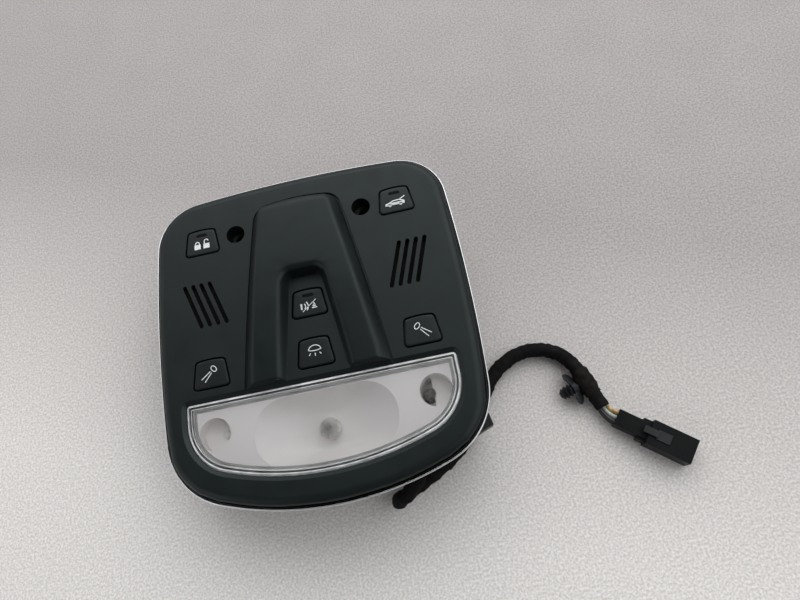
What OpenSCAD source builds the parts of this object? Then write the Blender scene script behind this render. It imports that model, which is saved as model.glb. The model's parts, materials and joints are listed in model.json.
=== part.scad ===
// Car overhead console with dome and reading lamps, lying face up on its rear housing.
// Millimetres. X runs across, Y towards the windscreen edge, Z out of the face.
// The origin is the middle of the flat back face.

/* [Face panel] */
// Width of the face panel at its widest place
panel_w = 149.6; // [140:0.2:170]
// Length of the face panel
panel_l = 160; // [155:0.5:175]
// Height of the face above the flat back
face_z = 44; // [42:0.5:60]
// Thickness of the moulded skin
skin_t = 2.2; // [1.6:0.1:3]
// Radius of the two corners at the windscreen edge
top_corner_r = 23; // [14:0.5:30]
// Radius of the two corners beside the lens
bottom_corner_r = 20; // [14:0.5:26]
// Radius of the bow of the long sides
side_bow_r = 750; // [500:10:1500]
// Radius of the bow of the windscreen edge
top_bow_r = 650; // [400:10:1500]
// Radius of the bow of the edge below the lens
bottom_bow_r = 150; // [130:1:220]
// Width of the rolled edge of the face
edge_w = 4.2; // [2:0.1:6]
// Height of the rolled edge of the face
edge_h = 3.2; // [1.5:0.1:4]
// Thickness of the lip under the rolled edge
lip_t = 0.6; // [0.4:0.1:1.5]
// How far the skirt stands back from the edge beside the trim ring
skirt_inset = 3.4; // [3:0.1:5]
// How far the foot of the skirt stands back from the edge
foot_inset = 2.6; // [2:0.1:2.8]
// Depth of the skirt below the face
skirt_depth = 12; // [10:0.5:14]

/* [Trim ring] */
// How far the trim ring stands out past the face panel
ring_out = 1.8; // [1.2:0.1:3]
// Height of the trim ring
ring_h = 2.6; // [2:0.1:3]
// Gap between the trim ring and the panel round it
ring_gap = 0.2; // [0.1:0.05:0.3]

/* [Hump] */
// Width of the hump where it meets the lens
hump_w_lens = 68; // [60:0.5:74]
// Width of the hump at its far end
hump_w_end = 40.8; // [36:0.2:46]
// How far the sides of the hump bow out
hump_bow = 3.6; // [0:0.1:5]
// Distance of the far end of the hump from the windscreen edge
hump_end = 12; // [10:0.5:24]
// Height of the hump where it meets the lens
hump_h_lens = 2.8; // [2:0.1:4]
// Rise of the hump from the lens to its middle
hump_rise = 12; // [6:0.5:14]
// Width of the rounded shoulder of the hump
shoulder_w = 5.5; // [3:0.1:7]
// Radius of the corners at the far end of the hump
hump_corner_r = 8; // [6:0.5:10]
// Width of the shadow groove round the hump
groove_w = 0.9; // [0.4:0.1:1.5]
// Depth of the shadow groove round the hump
groove_d = 1.1; // [0.5:0.1:1.4]

/* [Button well] */
// Half width of the well floor where it meets the lens
well_half_lens = 15; // [13:0.2:17]
// Half width of the well floor at its far end
well_half_end = 7.8; // [7:0.2:9]
// Length of the well floor from the lens
well_l = 51.3; // [50:0.5:54]
// How far the well walls lean out at the rim
well_lean = 3.4; // [2:0.1:4]

/* [Lens and reflector] */
// Distance of the lens from the long sides of the panel
lens_side = 12; // [10.8:0.1:16]
// Distance of the lens from the edge below it
lens_end = 13; // [11.5:0.1:16]
// Length of the lens
lens_l = 40; // [38:0.2:42]
// Radius of the lower corners of the lens
lens_corner_r = 24; // [18:0.5:28]
// Radius of the bow of the lower edge of the lens
lens_bow_r = 142; // [130:1:200]
// Radius of the two corners at the straight edge
lens_tip_r = 1.5; // [1:0.1:3]
// How far the lens lies below the face
lens_sink = 0.8; // [0.5:0.1:1.2]
// Thickness of the lens
lens_t = 1.8; // [1.2:0.1:2.2]
// Gap between the lens and the opening round it
lens_gap = 0.35; // [0.2:0.05:0.6]
// Width of the bevel round the lens opening
bevel_w = 1.9; // [1:0.1:2.5]
// Thickness of the reflector moulding
reflector_t = 1.6; // [1.2:0.1:2]
// Half width of the bowl of the dome lamp at the reflector face
bowl_half_w = 33; // [30:0.5:35]
// Radius of the corners of the bowl at the reflector face
bowl_corner_r = 15; // [12:0.5:15.5]
// Depth of the bowl of the dome lamp
bowl_d = 11; // [8:0.5:12]
// Distance of the reading lamp cups from the ends of the lens
cup_in = 11.8; // [11.4:0.1:12.8]
// Distance of the lamps below the straight edge of the lens
cup_drop = 14.7; // [14:0.1:16]
// Radius of a reading lamp cup
cup_r = 7.4; // [6.5:0.1:8]
// Depth of a reading lamp cup
cup_d = 6.8; // [5:0.1:6.8]
// Distance of the dome bulb below the straight edge of the lens
bulb_drop = 21; // [20:0.2:22]
// Radius of the dome bulb
bulb_r = 5; // [4.5:0.1:5.2]
// Radius of a reading bulb
reading_bulb_r = 2.5; // [2.2:0.1:2.8]

/* [Buttons] */
// Distance of the outer buttons from the long sides of the panel
button_in = 25; // [24.4:0.1:26.8]
// Distance of the buttons beside the screw wells from the windscreen edge
button_top_in = 25.4; // [24:0.1:27]
// Distance of the upper button in the well from the lens
button_mid_up = 37.5; // [37:0.1:38]
// Distance of the row of buttons next to the lens from it
button_low_up = 13; // [12.8:0.1:14]
// Width of a button at its narrow end
button_w_top = 13.9; // [12:0.1:14.5]
// Width of a button at its wide end
button_w_low = 17.6; // [16:0.1:18]
// Height of a button across its middle
button_h = 13.8; // [12:0.1:14]
// Radius of the corners of a button
button_corner_r = 1.7; // [1:0.1:2.5]
// Gap round a button
button_gap = 0.5; // [0.4:0.05:0.6]
// How far a button stands proud of the face
button_proud = 0.3; // [0:0.1:0.8]
// Travel of a button
button_travel = 1.2; // [0.8:0.1:1.3]
// Wall of a button
button_wall = 1.2; // [1:0.1:1.5]
// Length of an indicator window
window_l = 5.4; // [4:0.1:6]
// Width of an indicator window
window_w = 1.3; // [1:0.1:1.8]

/* [Grilles] */
// Number of slots in each grille
slot_count = 4; // [3:1:5]
// Length of a slot
slot_l = 24.5; // [20:0.5:26]
// Width of a slot
slot_w = 2; // [1.4:0.1:2.4]
// Pitch of the slots across the panel
slot_pitch = 4.18; // [3.8:0.01:4.4]
// Lean of the slots
slot_lean = 18.7; // [10:0.1:22]
// Distance of the grilles from the long sides of the panel
grille_in = 24.6; // [23.8:0.1:25.8]
// How far the grilles lie above the middle between the buttons
grille_up = 0.4; // [-0.3:0.1:1.7]

/* [Fixing] */
// Distance of the two fixing screw wells from the middle
fix_x = 32.3; // [32:0.1:33]
// Distance of the fixing screw wells from the windscreen edge
fix_in = 25.1; // [24:0.1:26]
// Radius of the bore for a fixing screw
fix_bore_r = 2.8; // [2.6:0.1:3.2]
// Radius of the counterbore for the screw head
fix_head_r = 4.7; // [4.4:0.1:5]
// Depth of the counterbore below the face
fix_head_d = 8; // [6:0.5:9]
// Wall round a fixing bore
fix_wall = 1.6; // [1.4:0.1:2]

/* [Rear housing] */
// Distance of the housing from the long sides of the panel
tub_side = 16.8; // [15.8:0.1:17.3]
// Distance of the housing from the windscreen edge
tub_top_in = 14; // [13:0.5:15]
// Distance of the housing from the edge below the lens
tub_low_in = 18; // [17:0.5:19]
// Radius of the housing corners
tub_corner_r = 14; // [12:0.5:16]
// Wall of the rear housing
tub_wall = 2; // [1.6:0.1:2.2]

/* [Circuit board] */
// Height of the board above the flat back
board_z = 26.4; // [24:0.1:27]
// Thickness of the circuit board
board_t = 1.6; // [1:0.1:2]
// Gap round the circuit board in the housing
board_gap = 1; // [0.5:0.1:2]

/* [Harness] */
// Diameter of the taped harness
harness_d = 7.2; // [6:0.1:7.4]
// Place of the harness outlet across the housing
outlet_x = 37; // [36:0.5:38]
// Height of the harness outlet
outlet_z = 21; // [20:0.5:22]

/* [Hidden] */

// Small amount by which a cutter passes a face
cut = 0.5;
// Gap between parts that are assembled together
fit = 0.2;
// Facets of turned shapes
fine = 48;

// Colours
panel_black = [0.16, 0.17, 0.18];
button_black = [0.13, 0.13, 0.14];
deep_black = [0.07, 0.07, 0.07];
chrome = [0.82, 0.83, 0.85];
clear = [0.85, 0.87, 0.88, 0.45];
lamp_white = [0.86, 0.84, 0.82];
board_green = [0.1, 0.34, 0.2];
metal = [0.72, 0.72, 0.7];

// Places that follow from the edges of the panel and of the lens
lens_w = panel_w - 2 * lens_side;
lens_low = lens_end - panel_l / 2;
lens_top = lens_low + lens_l;
cup_x = lens_w / 2 - cup_in;
hump_l = panel_l / 2 - hump_end - lens_top;
button_x = panel_w / 2 - button_in;
button_top_y = panel_l / 2 - button_top_in;
button_mid_y = lens_top + button_mid_up;
button_low_y = lens_top + button_low_up;
grille_x = panel_w / 2 - grille_in;
grille_y = (button_top_y + button_low_y) / 2 + grille_up;
fix_y = panel_l / 2 - fix_in;
tub_half = panel_w / 2 - tub_side;
tub_top_y = panel_l / 2 - tub_top_in;
tub_low_y = tub_low_in - panel_l / 2;

// Heights in the stack, from the face down
lip_z = face_z - edge_h;
lip_low_z = lip_z - lip_t;
skin_z = face_z - skin_t;
skirt_z = face_z - skirt_depth;
ledge_z = lip_low_z - ring_h - ring_gap;
skirt_wall = 2;
skirt_inner = skirt_inset + skirt_wall;

// Centre of a corner arc of radius r that runs inside two larger arcs
function blend_centre(ca, ra, cb, rb, r) =
    let (
        qa = ra - r,
        qb = rb - r,
        gap = cb - ca,
        d = norm(gap),
        along = (qa * qa - qb * qb + d * d) / (2 * d),
        off = sqrt(qa * qa - along * along),
        u = gap / d,
        first = ca + along * u + off * [-u[1], u[0]],
        second = ca + along * u - off * [-u[1], u[0]]
    )
    first[0] > second[0] ? first : second;
function bearing(from, to) = atan2(to[1] - from[1], to[0] - from[0]);
// Points of an arc without its last one, and of a whole arc
function arc(c, r, a0, a1, n) =
    [for (i = [0 : n - 1]) c + r * [cos(a0 + (a1 - a0) * i / n), sin(a0 + (a1 - a0) * i / n)]];
function whole_arc(c, r, a0, a1, n) = concat(arc(c, r, a0, a1, n), [c + r * [cos(a1), sin(a1)]]);
// Points of an arc that starts or ends on the middle line, with a flat across that line
function arc_from_middle(c, r, a0, a1, n) =
    [for (i = [0.5 : n]) c + r * [cos(a0 + (a1 - a0) * i / n), sin(a0 + (a1 - a0) * i / n)]];
function arc_to_middle(c, r, a0, a1, n) = arc(c, r, a0, a0 + (a1 - a0) * n / (n - 0.5), n);
// A closed outline from its right half, which runs clockwise from the top to the bottom
function mirrored(half) =
    concat(half, [for (i = [len(half) - 1 : -1 : 0]) [-half[i][0], half[i][1]]]);
function raised(points, z) = [for (p = points) [p[0], p[1], z]];
// Rounded oblong round the middle line, from low to high
function rounded_box(half_w, low, high, r_low, r_high) = mirrored(concat(
    whole_arc([half_w - r_high, high - r_high], r_high, 90, 0, 7),
    whole_arc([half_w - r_low, low + r_low], r_low, 0, -90, 7)
));

// Outline of the face panel, inset by d
side_c = [panel_w / 2 - side_bow_r, 10];
top_c = [0, panel_l / 2 - top_bow_r];
low_c = [0, bottom_bow_r - panel_l / 2];
top_corner_c = blend_centre(side_c, side_bow_r, top_c, top_bow_r, top_corner_r);
low_corner_c = blend_centre(side_c, side_bow_r, low_c, bottom_bow_r, bottom_corner_r);
top_turn = bearing(top_c, top_corner_c);
side_turn_top = bearing(side_c, top_corner_c);
side_turn_low = bearing(side_c, low_corner_c);
low_turn = bearing(low_c, low_corner_c);
function panel_outline(d) = mirrored(concat(
    arc_from_middle(top_c, top_bow_r - d, 90, top_turn, 3),
    arc(top_corner_c, top_corner_r - d, top_turn, side_turn_top, 9),
    arc(side_c, side_bow_r - d, side_turn_top, side_turn_low, 8),
    arc(low_corner_c, bottom_corner_r - d, side_turn_low, low_turn, 8),
    arc_to_middle(low_c, bottom_bow_r - d, low_turn, -90, 7)
));

// Outline of the lens, inset by d
lens_bow_c = [0, lens_low + lens_bow_r];
lens_corner_x = lens_w / 2 - lens_corner_r;
lens_corner_drop = sqrt(pow(lens_bow_r - lens_corner_r, 2) - pow(lens_corner_x, 2));
lens_corner_c = [lens_corner_x, lens_bow_c[1] - lens_corner_drop];
lens_turn = bearing(lens_bow_c, lens_corner_c);
function lens_outline(d) =
    let (tip = max(lens_tip_r - d, 0.4))
    mirrored(concat(
        whole_arc([lens_w / 2 - d - tip, lens_top - d - tip], tip, 90, 0, 3),
        arc(lens_corner_c, lens_corner_r - d, 0, lens_turn, 10),
        arc_to_middle(lens_bow_c, lens_bow_r - d, lens_turn, -90, 8)
    ));

// Outline of a button, inset by d, with its middle at the origin
button_lean = atan((button_w_low - button_w_top) / 2 / button_h);
button_arch_r = 36;
button_mid_half = (button_w_top + button_w_low) / 4;
function button_corner_x(y) =
    (button_mid_half * cos(button_lean) - button_corner_r - y * sin(button_lean)) / cos(button_lean);
button_low_c_y = -button_h / 2 + button_corner_r;
button_low_c = [button_corner_x(button_low_c_y), button_low_c_y];
button_arch_c = [0, button_h / 2 - button_arch_r];
button_top_c_x = button_corner_x(button_h / 2 - button_corner_r);
button_top_c_rise = sqrt(pow(button_arch_r - button_corner_r, 2) - pow(button_top_c_x, 2));
button_top_c = [button_top_c_x, button_arch_c[1] + button_top_c_rise];
button_turn = bearing(button_arch_c, button_top_c);
function button_outline(d) = mirrored(concat(
    arc_from_middle(button_arch_c, button_arch_r - d, 90, button_turn, 3),
    whole_arc(button_top_c, button_corner_r - d, button_turn, button_lean, 4),
    whole_arc(button_low_c, button_corner_r - d, button_lean, -90, 4)
));

// Skin through rings of equally many points, ordered from low to high and clockwise from above
module loft(rings) {
    n = len(rings[0]);
    top = len(rings) - 1;
    half = n / 2;
    sides = [
        for (j = [0 : top - 1]) for (i = [0 : n - 1])
            let (a = j * n + i, b = j * n + (i + 1) % n)
            each [[a, b, b + n], [a, b + n, a + n]]
    ];
    // The top cap is made of level strips, so a cap that rises along its length closes as well
    cap = [
        for (i = [0 : half - 2])
            let (left = n - 1 - i)
            each [[i, i + 1, left - 1], [i, left - 1, left]]
    ];
    polyhedron(
        points = [for (ring = rings) each ring],
        faces = concat(
            sides,
            [[for (i = [n - 1 : -1 : 0]) i]],
            [for (f = cap) [for (k = f) k + top * n]]
        )
    );
}
module prism(outline, z0, z1) {
    translate([0, 0, z0]) linear_extrude(z1 - z0) polygon(outline);
}
module band(outer, inner, z0, z1) {
    difference() {
        prism(outer, z0, z1);
        prism(inner, z0 - cut, z1 + cut);
    }
}
module both_sides() {
    children();
    mirror([1, 0, 0]) children();
}
module post(x, y, r, z0, z1) {
    translate([x, y, z0]) cylinder(r = r, h = z1 - z0, $fn = fine);
}
module slab(x0, x1, y0, y1, z0, z1) {
    translate([x0, y0, z0]) cube([x1 - x0, y1 - y0, z1 - z0]);
}

// Hump: the raised bridge between the lens and the windscreen edge
hump_ease = 0.62;
function hump_share(y) = (y - lens_top) / hump_l;
function hump_half(y) =
    let (u = hump_share(y))
    hump_w_lens / 2 - ((hump_w_lens - hump_w_end) / 2 - hump_bow) * u - hump_bow * u * u;
function hump_height(y) =
    let (u = hump_share(y))
    hump_h_lens + hump_rise * u * (1 - hump_ease * u);
hump_side_end = lens_top + hump_l - hump_corner_r;
hump_side_slope = hump_half(hump_side_end - 1) - hump_half(hump_side_end);
hump_side_turn = atan(hump_side_slope);
hump_corner_c = [
    hump_half(hump_side_end) - hump_corner_r * cos(hump_side_turn),
    hump_side_end - hump_corner_r * sin(hump_side_turn)
];
hump_end_turn = 80;
hump_end_r = hump_corner_r + hump_corner_c[0] / cos(hump_end_turn);
hump_end_c = hump_corner_c - (hump_end_r - hump_corner_r) * [cos(hump_end_turn), sin(hump_end_turn)];
hump_steps = 8;
function hump_outline(d) = mirrored(concat(
    arc_from_middle(hump_end_c, hump_end_r - d, 90, hump_end_turn, 2),
    arc(hump_corner_c, hump_corner_r - d, hump_end_turn, hump_side_turn, 7),
    [
        for (i = [0 : hump_steps])
            let (y = hump_side_end + (lens_top - hump_side_end) * i / hump_steps)
            [hump_half(y) - d, y]
    ]
));
function hump_ring(t) = [
    for (p = hump_outline(shoulder_w * t))
        [p[0], p[1], face_z + hump_height(p[1]) * sin(90 * t)]
];
module hump_solid(from_z) {
    loft(concat(
        [raised(hump_outline(0), from_z)],
        [for (t = [0, 0.14, 0.32, 0.55, 0.78, 1]) hump_ring(t)]
    ));
}
// Hollow under the hump, with a roof that rises in line with it
module hump_hollow() {
    low_y = lens_top + 12;
    high_y = lens_top + hump_l - shoulder_w - 2;
    side = shoulder_w * 0.75;
    intersection() {
        prism([
            [hump_half(low_y) - side, low_y], [hump_half(high_y) - side - 1, high_y],
            [1 + side - hump_half(high_y), high_y], [side - hump_half(low_y), low_y]
        ], skin_z - cut, face_z + hump_h_lens + hump_rise);
        rotate([90, 0, 90]) translate([0, 0, -hump_w_lens / 2]) linear_extrude(hump_w_lens)
            polygon([
                [low_y - 1, skin_z - cut],
                [low_y - 1, skin_z + hump_height(low_y) - 1.2],
                [lens_top + hump_l / 2, skin_z + hump_height(lens_top + hump_l / 2) - 0.8],
                [high_y + 1, skin_z + hump_height(high_y) - 0.8],
                [high_y + 1, skin_z - cut]
            ]);
    }
}

// Well for the two middle buttons, open towards the lens
well_end_y = lens_top + well_l;
well_mouth_y = lens_top - 8;
well_corner_r = 2.5;
function well_half(y) =
    well_half_lens - (well_half_lens - well_half_end) * (y - lens_top) / well_l;
function well_outline(g) =
    let (
        r = well_corner_r + g,
        corner = [well_half(well_end_y) + g - r, well_end_y + g - r]
    )
    mirrored(concat(
        arc(corner, r, 90, 0, 5),
        [
            for (i = [0 : 4])
                let (y = corner[1] + (well_mouth_y - corner[1]) * i / 4)
                [well_half(y) + g, y]
        ]
    ));
function well_ring(g, below_top, least) = [
    for (p = well_outline(g))
        [p[0], p[1], face_z + max(hump_height(p[1]) - below_top, least)]
];
module well_space() {
    loft([
        raised(well_outline(0), face_z),
        well_ring(well_lean * 0.62, 1.3, 0.6),
        well_ring(well_lean, 0.35, 1.6),
        well_ring(well_lean * 1.6, -0.45, 2.4),
        well_ring(well_lean * 1.6, -3, 3)
    ]);
}

// Places of the six buttons
place_lock = [-button_x, button_top_y];
place_tailgate = [button_x, button_top_y];
place_parking = [0, button_mid_y];
place_dome = [0, button_low_y];
place_reading_left = [-button_x, button_low_y];
place_reading_right = [button_x, button_low_y];
button_places = [
    place_lock, place_tailgate, place_parking,
    place_dome, place_reading_left, place_reading_right
];

// Button sizes along its travel
button_top_z = face_z + button_proud;
button_flange_out = 0.9;
button_flange_z = skin_z - 0.3;
button_flange_t = 1.4;
button_low_z = skin_z - 5.2;
guide_gap = 0.5;
guide_wall = 1.2;
guide_low_z = button_low_z - 0.4;
board_top_z = board_z + board_t;
switch_w = 6;
switch_h = 4.2;
switch_base_t = 0.8;
switch_top_z = board_top_z + switch_h;
plunger_r = 1.6;
plunger_gap = 0.15;
plunger_top_z = switch_top_z + button_travel + 0.6;
plunger_low_z = board_top_z + switch_base_t + button_travel + 0.2;
stem_r = 2;
window_y = 3.7;

module at(place) {
    translate([place[0], place[1], 0]) children();
}

// Posts for the screws that hold the rear housing
screw_places = [
    [30, tub_top_y + 4.5],
    [panel_w / 2 - 10.3, 12],
    [20, tub_low_y - 9.5]
];
screw_r = 1.25;
screw_post_r = 2.7;
screw_head_r = 2.6;
screw_head_h = 2;
screw_reach = 6;

// Inner reach of the fixing wells
fix_floor_z = face_z - fix_head_d;
fix_boss_z = fix_floor_z - fix_wall;

module grille_slots(z0, z1) {
    for (i = [0 : slot_count - 1])
        translate([grille_x + (i - (slot_count - 1) / 2) * slot_pitch, grille_y, 0])
            rotate([0, 0, -slot_lean]) {
                straight = slot_l / 2 - slot_w / 2;
                slab(-slot_w / 2, slot_w / 2, -straight, straight, z0, z1);
                post(0, straight, slot_w / 2, z0, z1);
                post(0, -straight, slot_w / 2, z0, z1);
            }
}

module face_panel() {
    color(panel_black) difference() {
        union() {
            difference() {
                union() {
                    // Skin with its rolled edge
                    loft(concat(
                        [raised(panel_outline(0), lip_low_z)],
                        [
                            for (a = [0 : 18 : 90])
                                raised(panel_outline(edge_w * (1 - cos(a))), lip_z + edge_h * sin(a))
                        ]
                    ));
                    // Skirt, with a ledge that carries the trim ring
                    prism(panel_outline(skirt_inset), ledge_z - cut, lip_low_z + cut);
                    prism(panel_outline(foot_inset), skirt_z, ledge_z);
                }
                prism(panel_outline(skirt_inner), skirt_z - cut, skin_z);
                prism(hump_outline(-groove_w), face_z - groove_d, face_z + cut);
            }
            // Raised bridge
            hump_solid(face_z - groove_d - 0.4);
            // Guides under the skin round the buttons
            for (place = button_places)
                at(place) band(
                    button_outline(-button_flange_out - guide_gap - guide_wall),
                    button_outline(-button_flange_out - guide_gap),
                    guide_low_z, skin_z + cut
                );
            both_sides() {
                post(fix_x, fix_y, fix_head_r + fix_wall, fix_boss_z, skin_z + cut);
                for (p = screw_places)
                    post(p[0], p[1], screw_post_r, skirt_z, skin_z + cut);
            }
        }
        // Hollow under the bridge, which leaves a wall round the well
        difference() {
            hump_hollow();
            prism(well_outline(well_lean + skin_t), skirt_z, face_z + hump_rise);
        }
        well_space();
        for (place = button_places)
            at(place) prism(button_outline(-button_gap), skin_z - cut, face_z + cut);
        // Lens opening, bevelled at the face
        prism(lens_outline(-lens_gap), skirt_z, face_z + 12);
        loft([
            raised(lens_outline(-lens_gap), face_z - 1.3),
            raised(lens_outline(-lens_gap - bevel_w), face_z),
            raised(lens_outline(-lens_gap - bevel_w - 3.2), face_z + 2.9),
            raised(lens_outline(-lens_gap - bevel_w - 4.4), face_z + 9)
        ]);
        both_sides() {
            grille_slots(skin_z - cut, face_z + cut);
            post(fix_x, fix_y, fix_head_r, fix_floor_z, face_z + cut);
            post(fix_x, fix_y, fix_bore_r, fix_boss_z - cut, fix_floor_z + cut);
            for (p = screw_places)
                post(p[0], p[1], screw_r + 0.05, skirt_z - cut, skirt_z + screw_reach + 1);
        }
    }
}

// Closed profile of the trim ring: how far inside the panel edge, and the height above its foot
ring_profile = [
    [skirt_inset - ring_gap, 0], [skirt_inset - ring_gap, ring_h - 0.2],
    [-0.1, ring_h - 0.2], [-0.35, ring_h], [-0.6, ring_h - 0.2], [-0.8, ring_h - 0.6],
    [-1, ring_h - 0.2], [-1.3, ring_h + 0.05], [0.15 - ring_out, ring_h - 0.2],
    [-ring_out, ring_h - 0.8], [0.1 - ring_out, 0.9], [0.5 - ring_out, 0]
];
module trim_ring() {
    foot = ledge_z + ring_gap / 2;
    count = len(ring_profile);
    loops = [for (q = ring_profile) raised(panel_outline(q[0]), foot + q[1])];
    n = len(loops[0]);
    color(chrome) polyhedron(
        points = [for (ring = loops) each ring],
        faces = [
            for (j = [0 : count - 1]) for (i = [0 : n - 1])
                let (
                    k = (j + 1) % count,
                    a = j * n + i,
                    b = j * n + (i + 1) % n,
                    c = k * n + (i + 1) % n,
                    d = k * n + i
                )
                each [[a, c, b], [a, d, c]]
        ]
    );
}

// Lens and what lies under it
lens_top_z = face_z - lens_sink;
lens_wall = 1.8;
lens_flange_out = 1.6;
lens_flange_z = skin_z - fit;
lens_flange_t = 1.2;
lens_skirt_z = lens_flange_z - lens_flange_t;
reflector_rim = lens_wall + 0.6;
reflector_z = lens_top_z - lens_t - 0.8;
reflector_flange_z = lens_skirt_z - fit;
module lens() {
    color(clear) {
        difference() {
            union() {
                loft([
                    raised(lens_outline(0), lens_skirt_z),
                    raised(lens_outline(0), lens_top_z - 0.5),
                    raised(lens_outline(0.45), lens_top_z)
                ]);
                prism(lens_outline(-lens_flange_out), lens_skirt_z, lens_flange_z);
            }
            prism(lens_outline(lens_wall), lens_skirt_z - cut, lens_top_z - lens_t);
        }
    }
}

// White tray with the bowl of the dome lamp and the cups of the reading lamps
bowl_y = lens_top - bulb_drop;
bowl_top_y = lens_top - reflector_rim - reflector_t - fit;
bowl_low_y = lens_low + reflector_rim + reflector_t + fit;
bowl_floor_half_w = 8.5;
bowl_floor_half_l = 6.9;
bowl_floor_r = 5.5;
// Outline of the bowl at share t of its way from the face to its floor, larger by d
function bowl_ring(t, d) =
    let (r = bowl_corner_r + (bowl_floor_r - bowl_corner_r) * t + d)
    raised(rounded_box(
        bowl_half_w + (bowl_floor_half_w - bowl_half_w) * t + d,
        bowl_low_y + (bowl_y - bowl_floor_half_l - bowl_low_y) * t - d,
        bowl_top_y + (bowl_y + bowl_floor_half_l - bowl_top_y) * t + d,
        r, r
    ), reflector_z - bowl_d * t * (2 - t) - d);
// The bowl, larger by d and held within the outline of the lens inset by rim
module bowl(d, rim) {
    intersection() {
        loft(concat(
            [for (t = [1, 0.84, 0.66, 0.48, 0.3, 0.14, 0]) bowl_ring(t, d)],
            [[for (p = bowl_ring(0, d)) [p[0], p[1], reflector_z + cut]]]
        ));
        prism(lens_outline(rim), dome_collar_z, reflector_z + 2 * cut);
    }
}
cup_y = lens_top - cup_drop;
cup_floor_z = reflector_z - cup_d;
cup_pocket_d = 6;
cup_pocket_shift = 1.6;
cup_pocket_z = cup_floor_z - cup_pocket_d;
bulb_hole_r = bulb_r + 1.5;
dome_collar_r = bulb_hole_r + reflector_t + 0.6;
dome_collar_z = reflector_z - bowl_d - 9;
bulb_shift = 3.6;
reading_collar_r = 5.2;
reading_bore_r = reading_bulb_r + 1.1;
reading_bulb_gap = 0.5;
reading_collar_z = cup_pocket_z - 7;
module reflector() {
    color(lamp_white) difference() {
        union() {
            // Face of the tray and the shell of the bowl under it
            prism(lens_outline(reflector_rim), reflector_z - reflector_t, reflector_z);
            intersection() {
                bowl(reflector_t, reflector_rim);
                prism(lens_outline(0), dome_collar_z, reflector_z);
            }
            // Wall and flange that carry the tray on the rear housing
            band(
                lens_outline(reflector_rim), lens_outline(reflector_rim + reflector_t),
                reflector_flange_z - 3, reflector_z
            );
            band(
                lens_outline(-lens_flange_out), lens_outline(reflector_rim + 0.4),
                reflector_flange_z - reflector_t, reflector_flange_z
            );
            band(
                lens_outline(-lens_flange_out), lens_outline(reflector_t - lens_flange_out),
                skirt_z + fit, reflector_flange_z
            );
            post(0, bowl_y, dome_collar_r, dome_collar_z, reflector_z - bowl_d - 0.7);
            both_sides() {
                post(
                    cup_x, cup_y, cup_r + reflector_t,
                    cup_floor_z - reflector_t, reflector_z - reflector_t + fit
                );
                intersection() {
                    post(
                        cup_x, cup_y, cup_r + reflector_t,
                        cup_pocket_z - reflector_t, cup_floor_z
                    );
                    slab(
                        cup_x - 12, cup_x - cup_pocket_shift + reflector_t, cup_y - 12, cup_y + 12,
                        cup_pocket_z - 3, cup_floor_z + cut
                    );
                }
                post(cup_x - bulb_shift, cup_y, reading_collar_r, reading_collar_z, cup_pocket_z);
            }
        }
        // The bowl stops at flat walls where the tray is narrower than it
        bowl(0, reflector_rim + reflector_t);
        post(0, bowl_y, bulb_hole_r, dome_collar_z - cut, reflector_z - 1);
        both_sides() {
            post(cup_x, cup_y, cup_r, cup_floor_z, reflector_z + cut);
            // Deeper half of the cup, where the bulb stands
            intersection() {
                post(cup_x, cup_y, cup_r, cup_pocket_z, cup_floor_z + cut);
                slab(
                    cup_x - 10, cup_x - cup_pocket_shift, cup_y - 10, cup_y + 10,
                    cup_pocket_z - cut, cup_floor_z + 1
                );
            }
            // Bore for the holder, and the narrower way of the bulb beside the pocket wall
            post(cup_x - bulb_shift, cup_y, reading_bore_r, reading_collar_z - cut, cup_pocket_z + cut);
            post(
                cup_x - bulb_shift, cup_y, reading_bulb_r + reading_bulb_gap,
                cup_pocket_z, cup_floor_z + cut
            );
        }
    }
}

// A wedge bulb: glass with a round tip and a flat base
base_share_w = 0.9;
base_share_t = 0.28;
module wedge_bulb(r, low_z, tip_z) {
    color(clear) {
        post(0, 0, r, low_z + r, tip_z - r);
        translate([0, 0, tip_z - r]) sphere(r = r, $fn = fine);
        slab(
            -r * base_share_w, r * base_share_w, -r * base_share_t, r * base_share_t,
            low_z, low_z + r + cut
        );
    }
}
// Holder that plugs into the collar behind a lamp
bulb_play = 0.1;
holder_floor_t = 2;
holder_plug_in = 3;
module bulb_holder(collar_r, collar_bore_r, collar_z, r, depth) {
    bulb_low = collar_z - depth + holder_floor_t;
    base_half = r * base_share_w + bulb_play;
    base_t = r * base_share_t + bulb_play;
    color(deep_black) difference() {
        union() {
            post(0, 0, collar_r, collar_z - depth, collar_z);
            post(0, 0, collar_bore_r - fit, collar_z - cut, collar_z + holder_plug_in);
            // Wings to turn the holder by
            slab(-collar_r - 1.2, collar_r + 1.2, -1.5, 1.5, collar_z - depth, collar_z - depth + 4);
        }
        post(0, 0, r + bulb_play, bulb_low + r - bulb_play, collar_z + holder_plug_in + cut);
        slab(-base_half, base_half, -base_t, base_t, bulb_low - bulb_play, bulb_low + r + cut);
    }
}
dome_holder_d = 10;
reading_holder_d = 7;
module dome_bulb() {
    translate([0, bowl_y, 0])
        wedge_bulb(bulb_r, dome_collar_z - dome_holder_d + holder_floor_t, reflector_z - 3);
}
module dome_bulb_holder() {
    translate([0, bowl_y, 0])
        bulb_holder(dome_collar_r, bulb_hole_r, dome_collar_z, bulb_r, dome_holder_d);
}
module reading_bulb(side) {
    translate([side * (cup_x - bulb_shift), cup_y, 0])
        wedge_bulb(
            reading_bulb_r, reading_collar_z - reading_holder_d + holder_floor_t, cup_floor_z + 1.5
        );
}
module reading_bulb_holder(side) {
    translate([side * (cup_x - bulb_shift), cup_y, 0])
        bulb_holder(
            reading_collar_r, reading_bore_r, reading_collar_z, reading_bulb_r, reading_holder_d
        );
}

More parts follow.
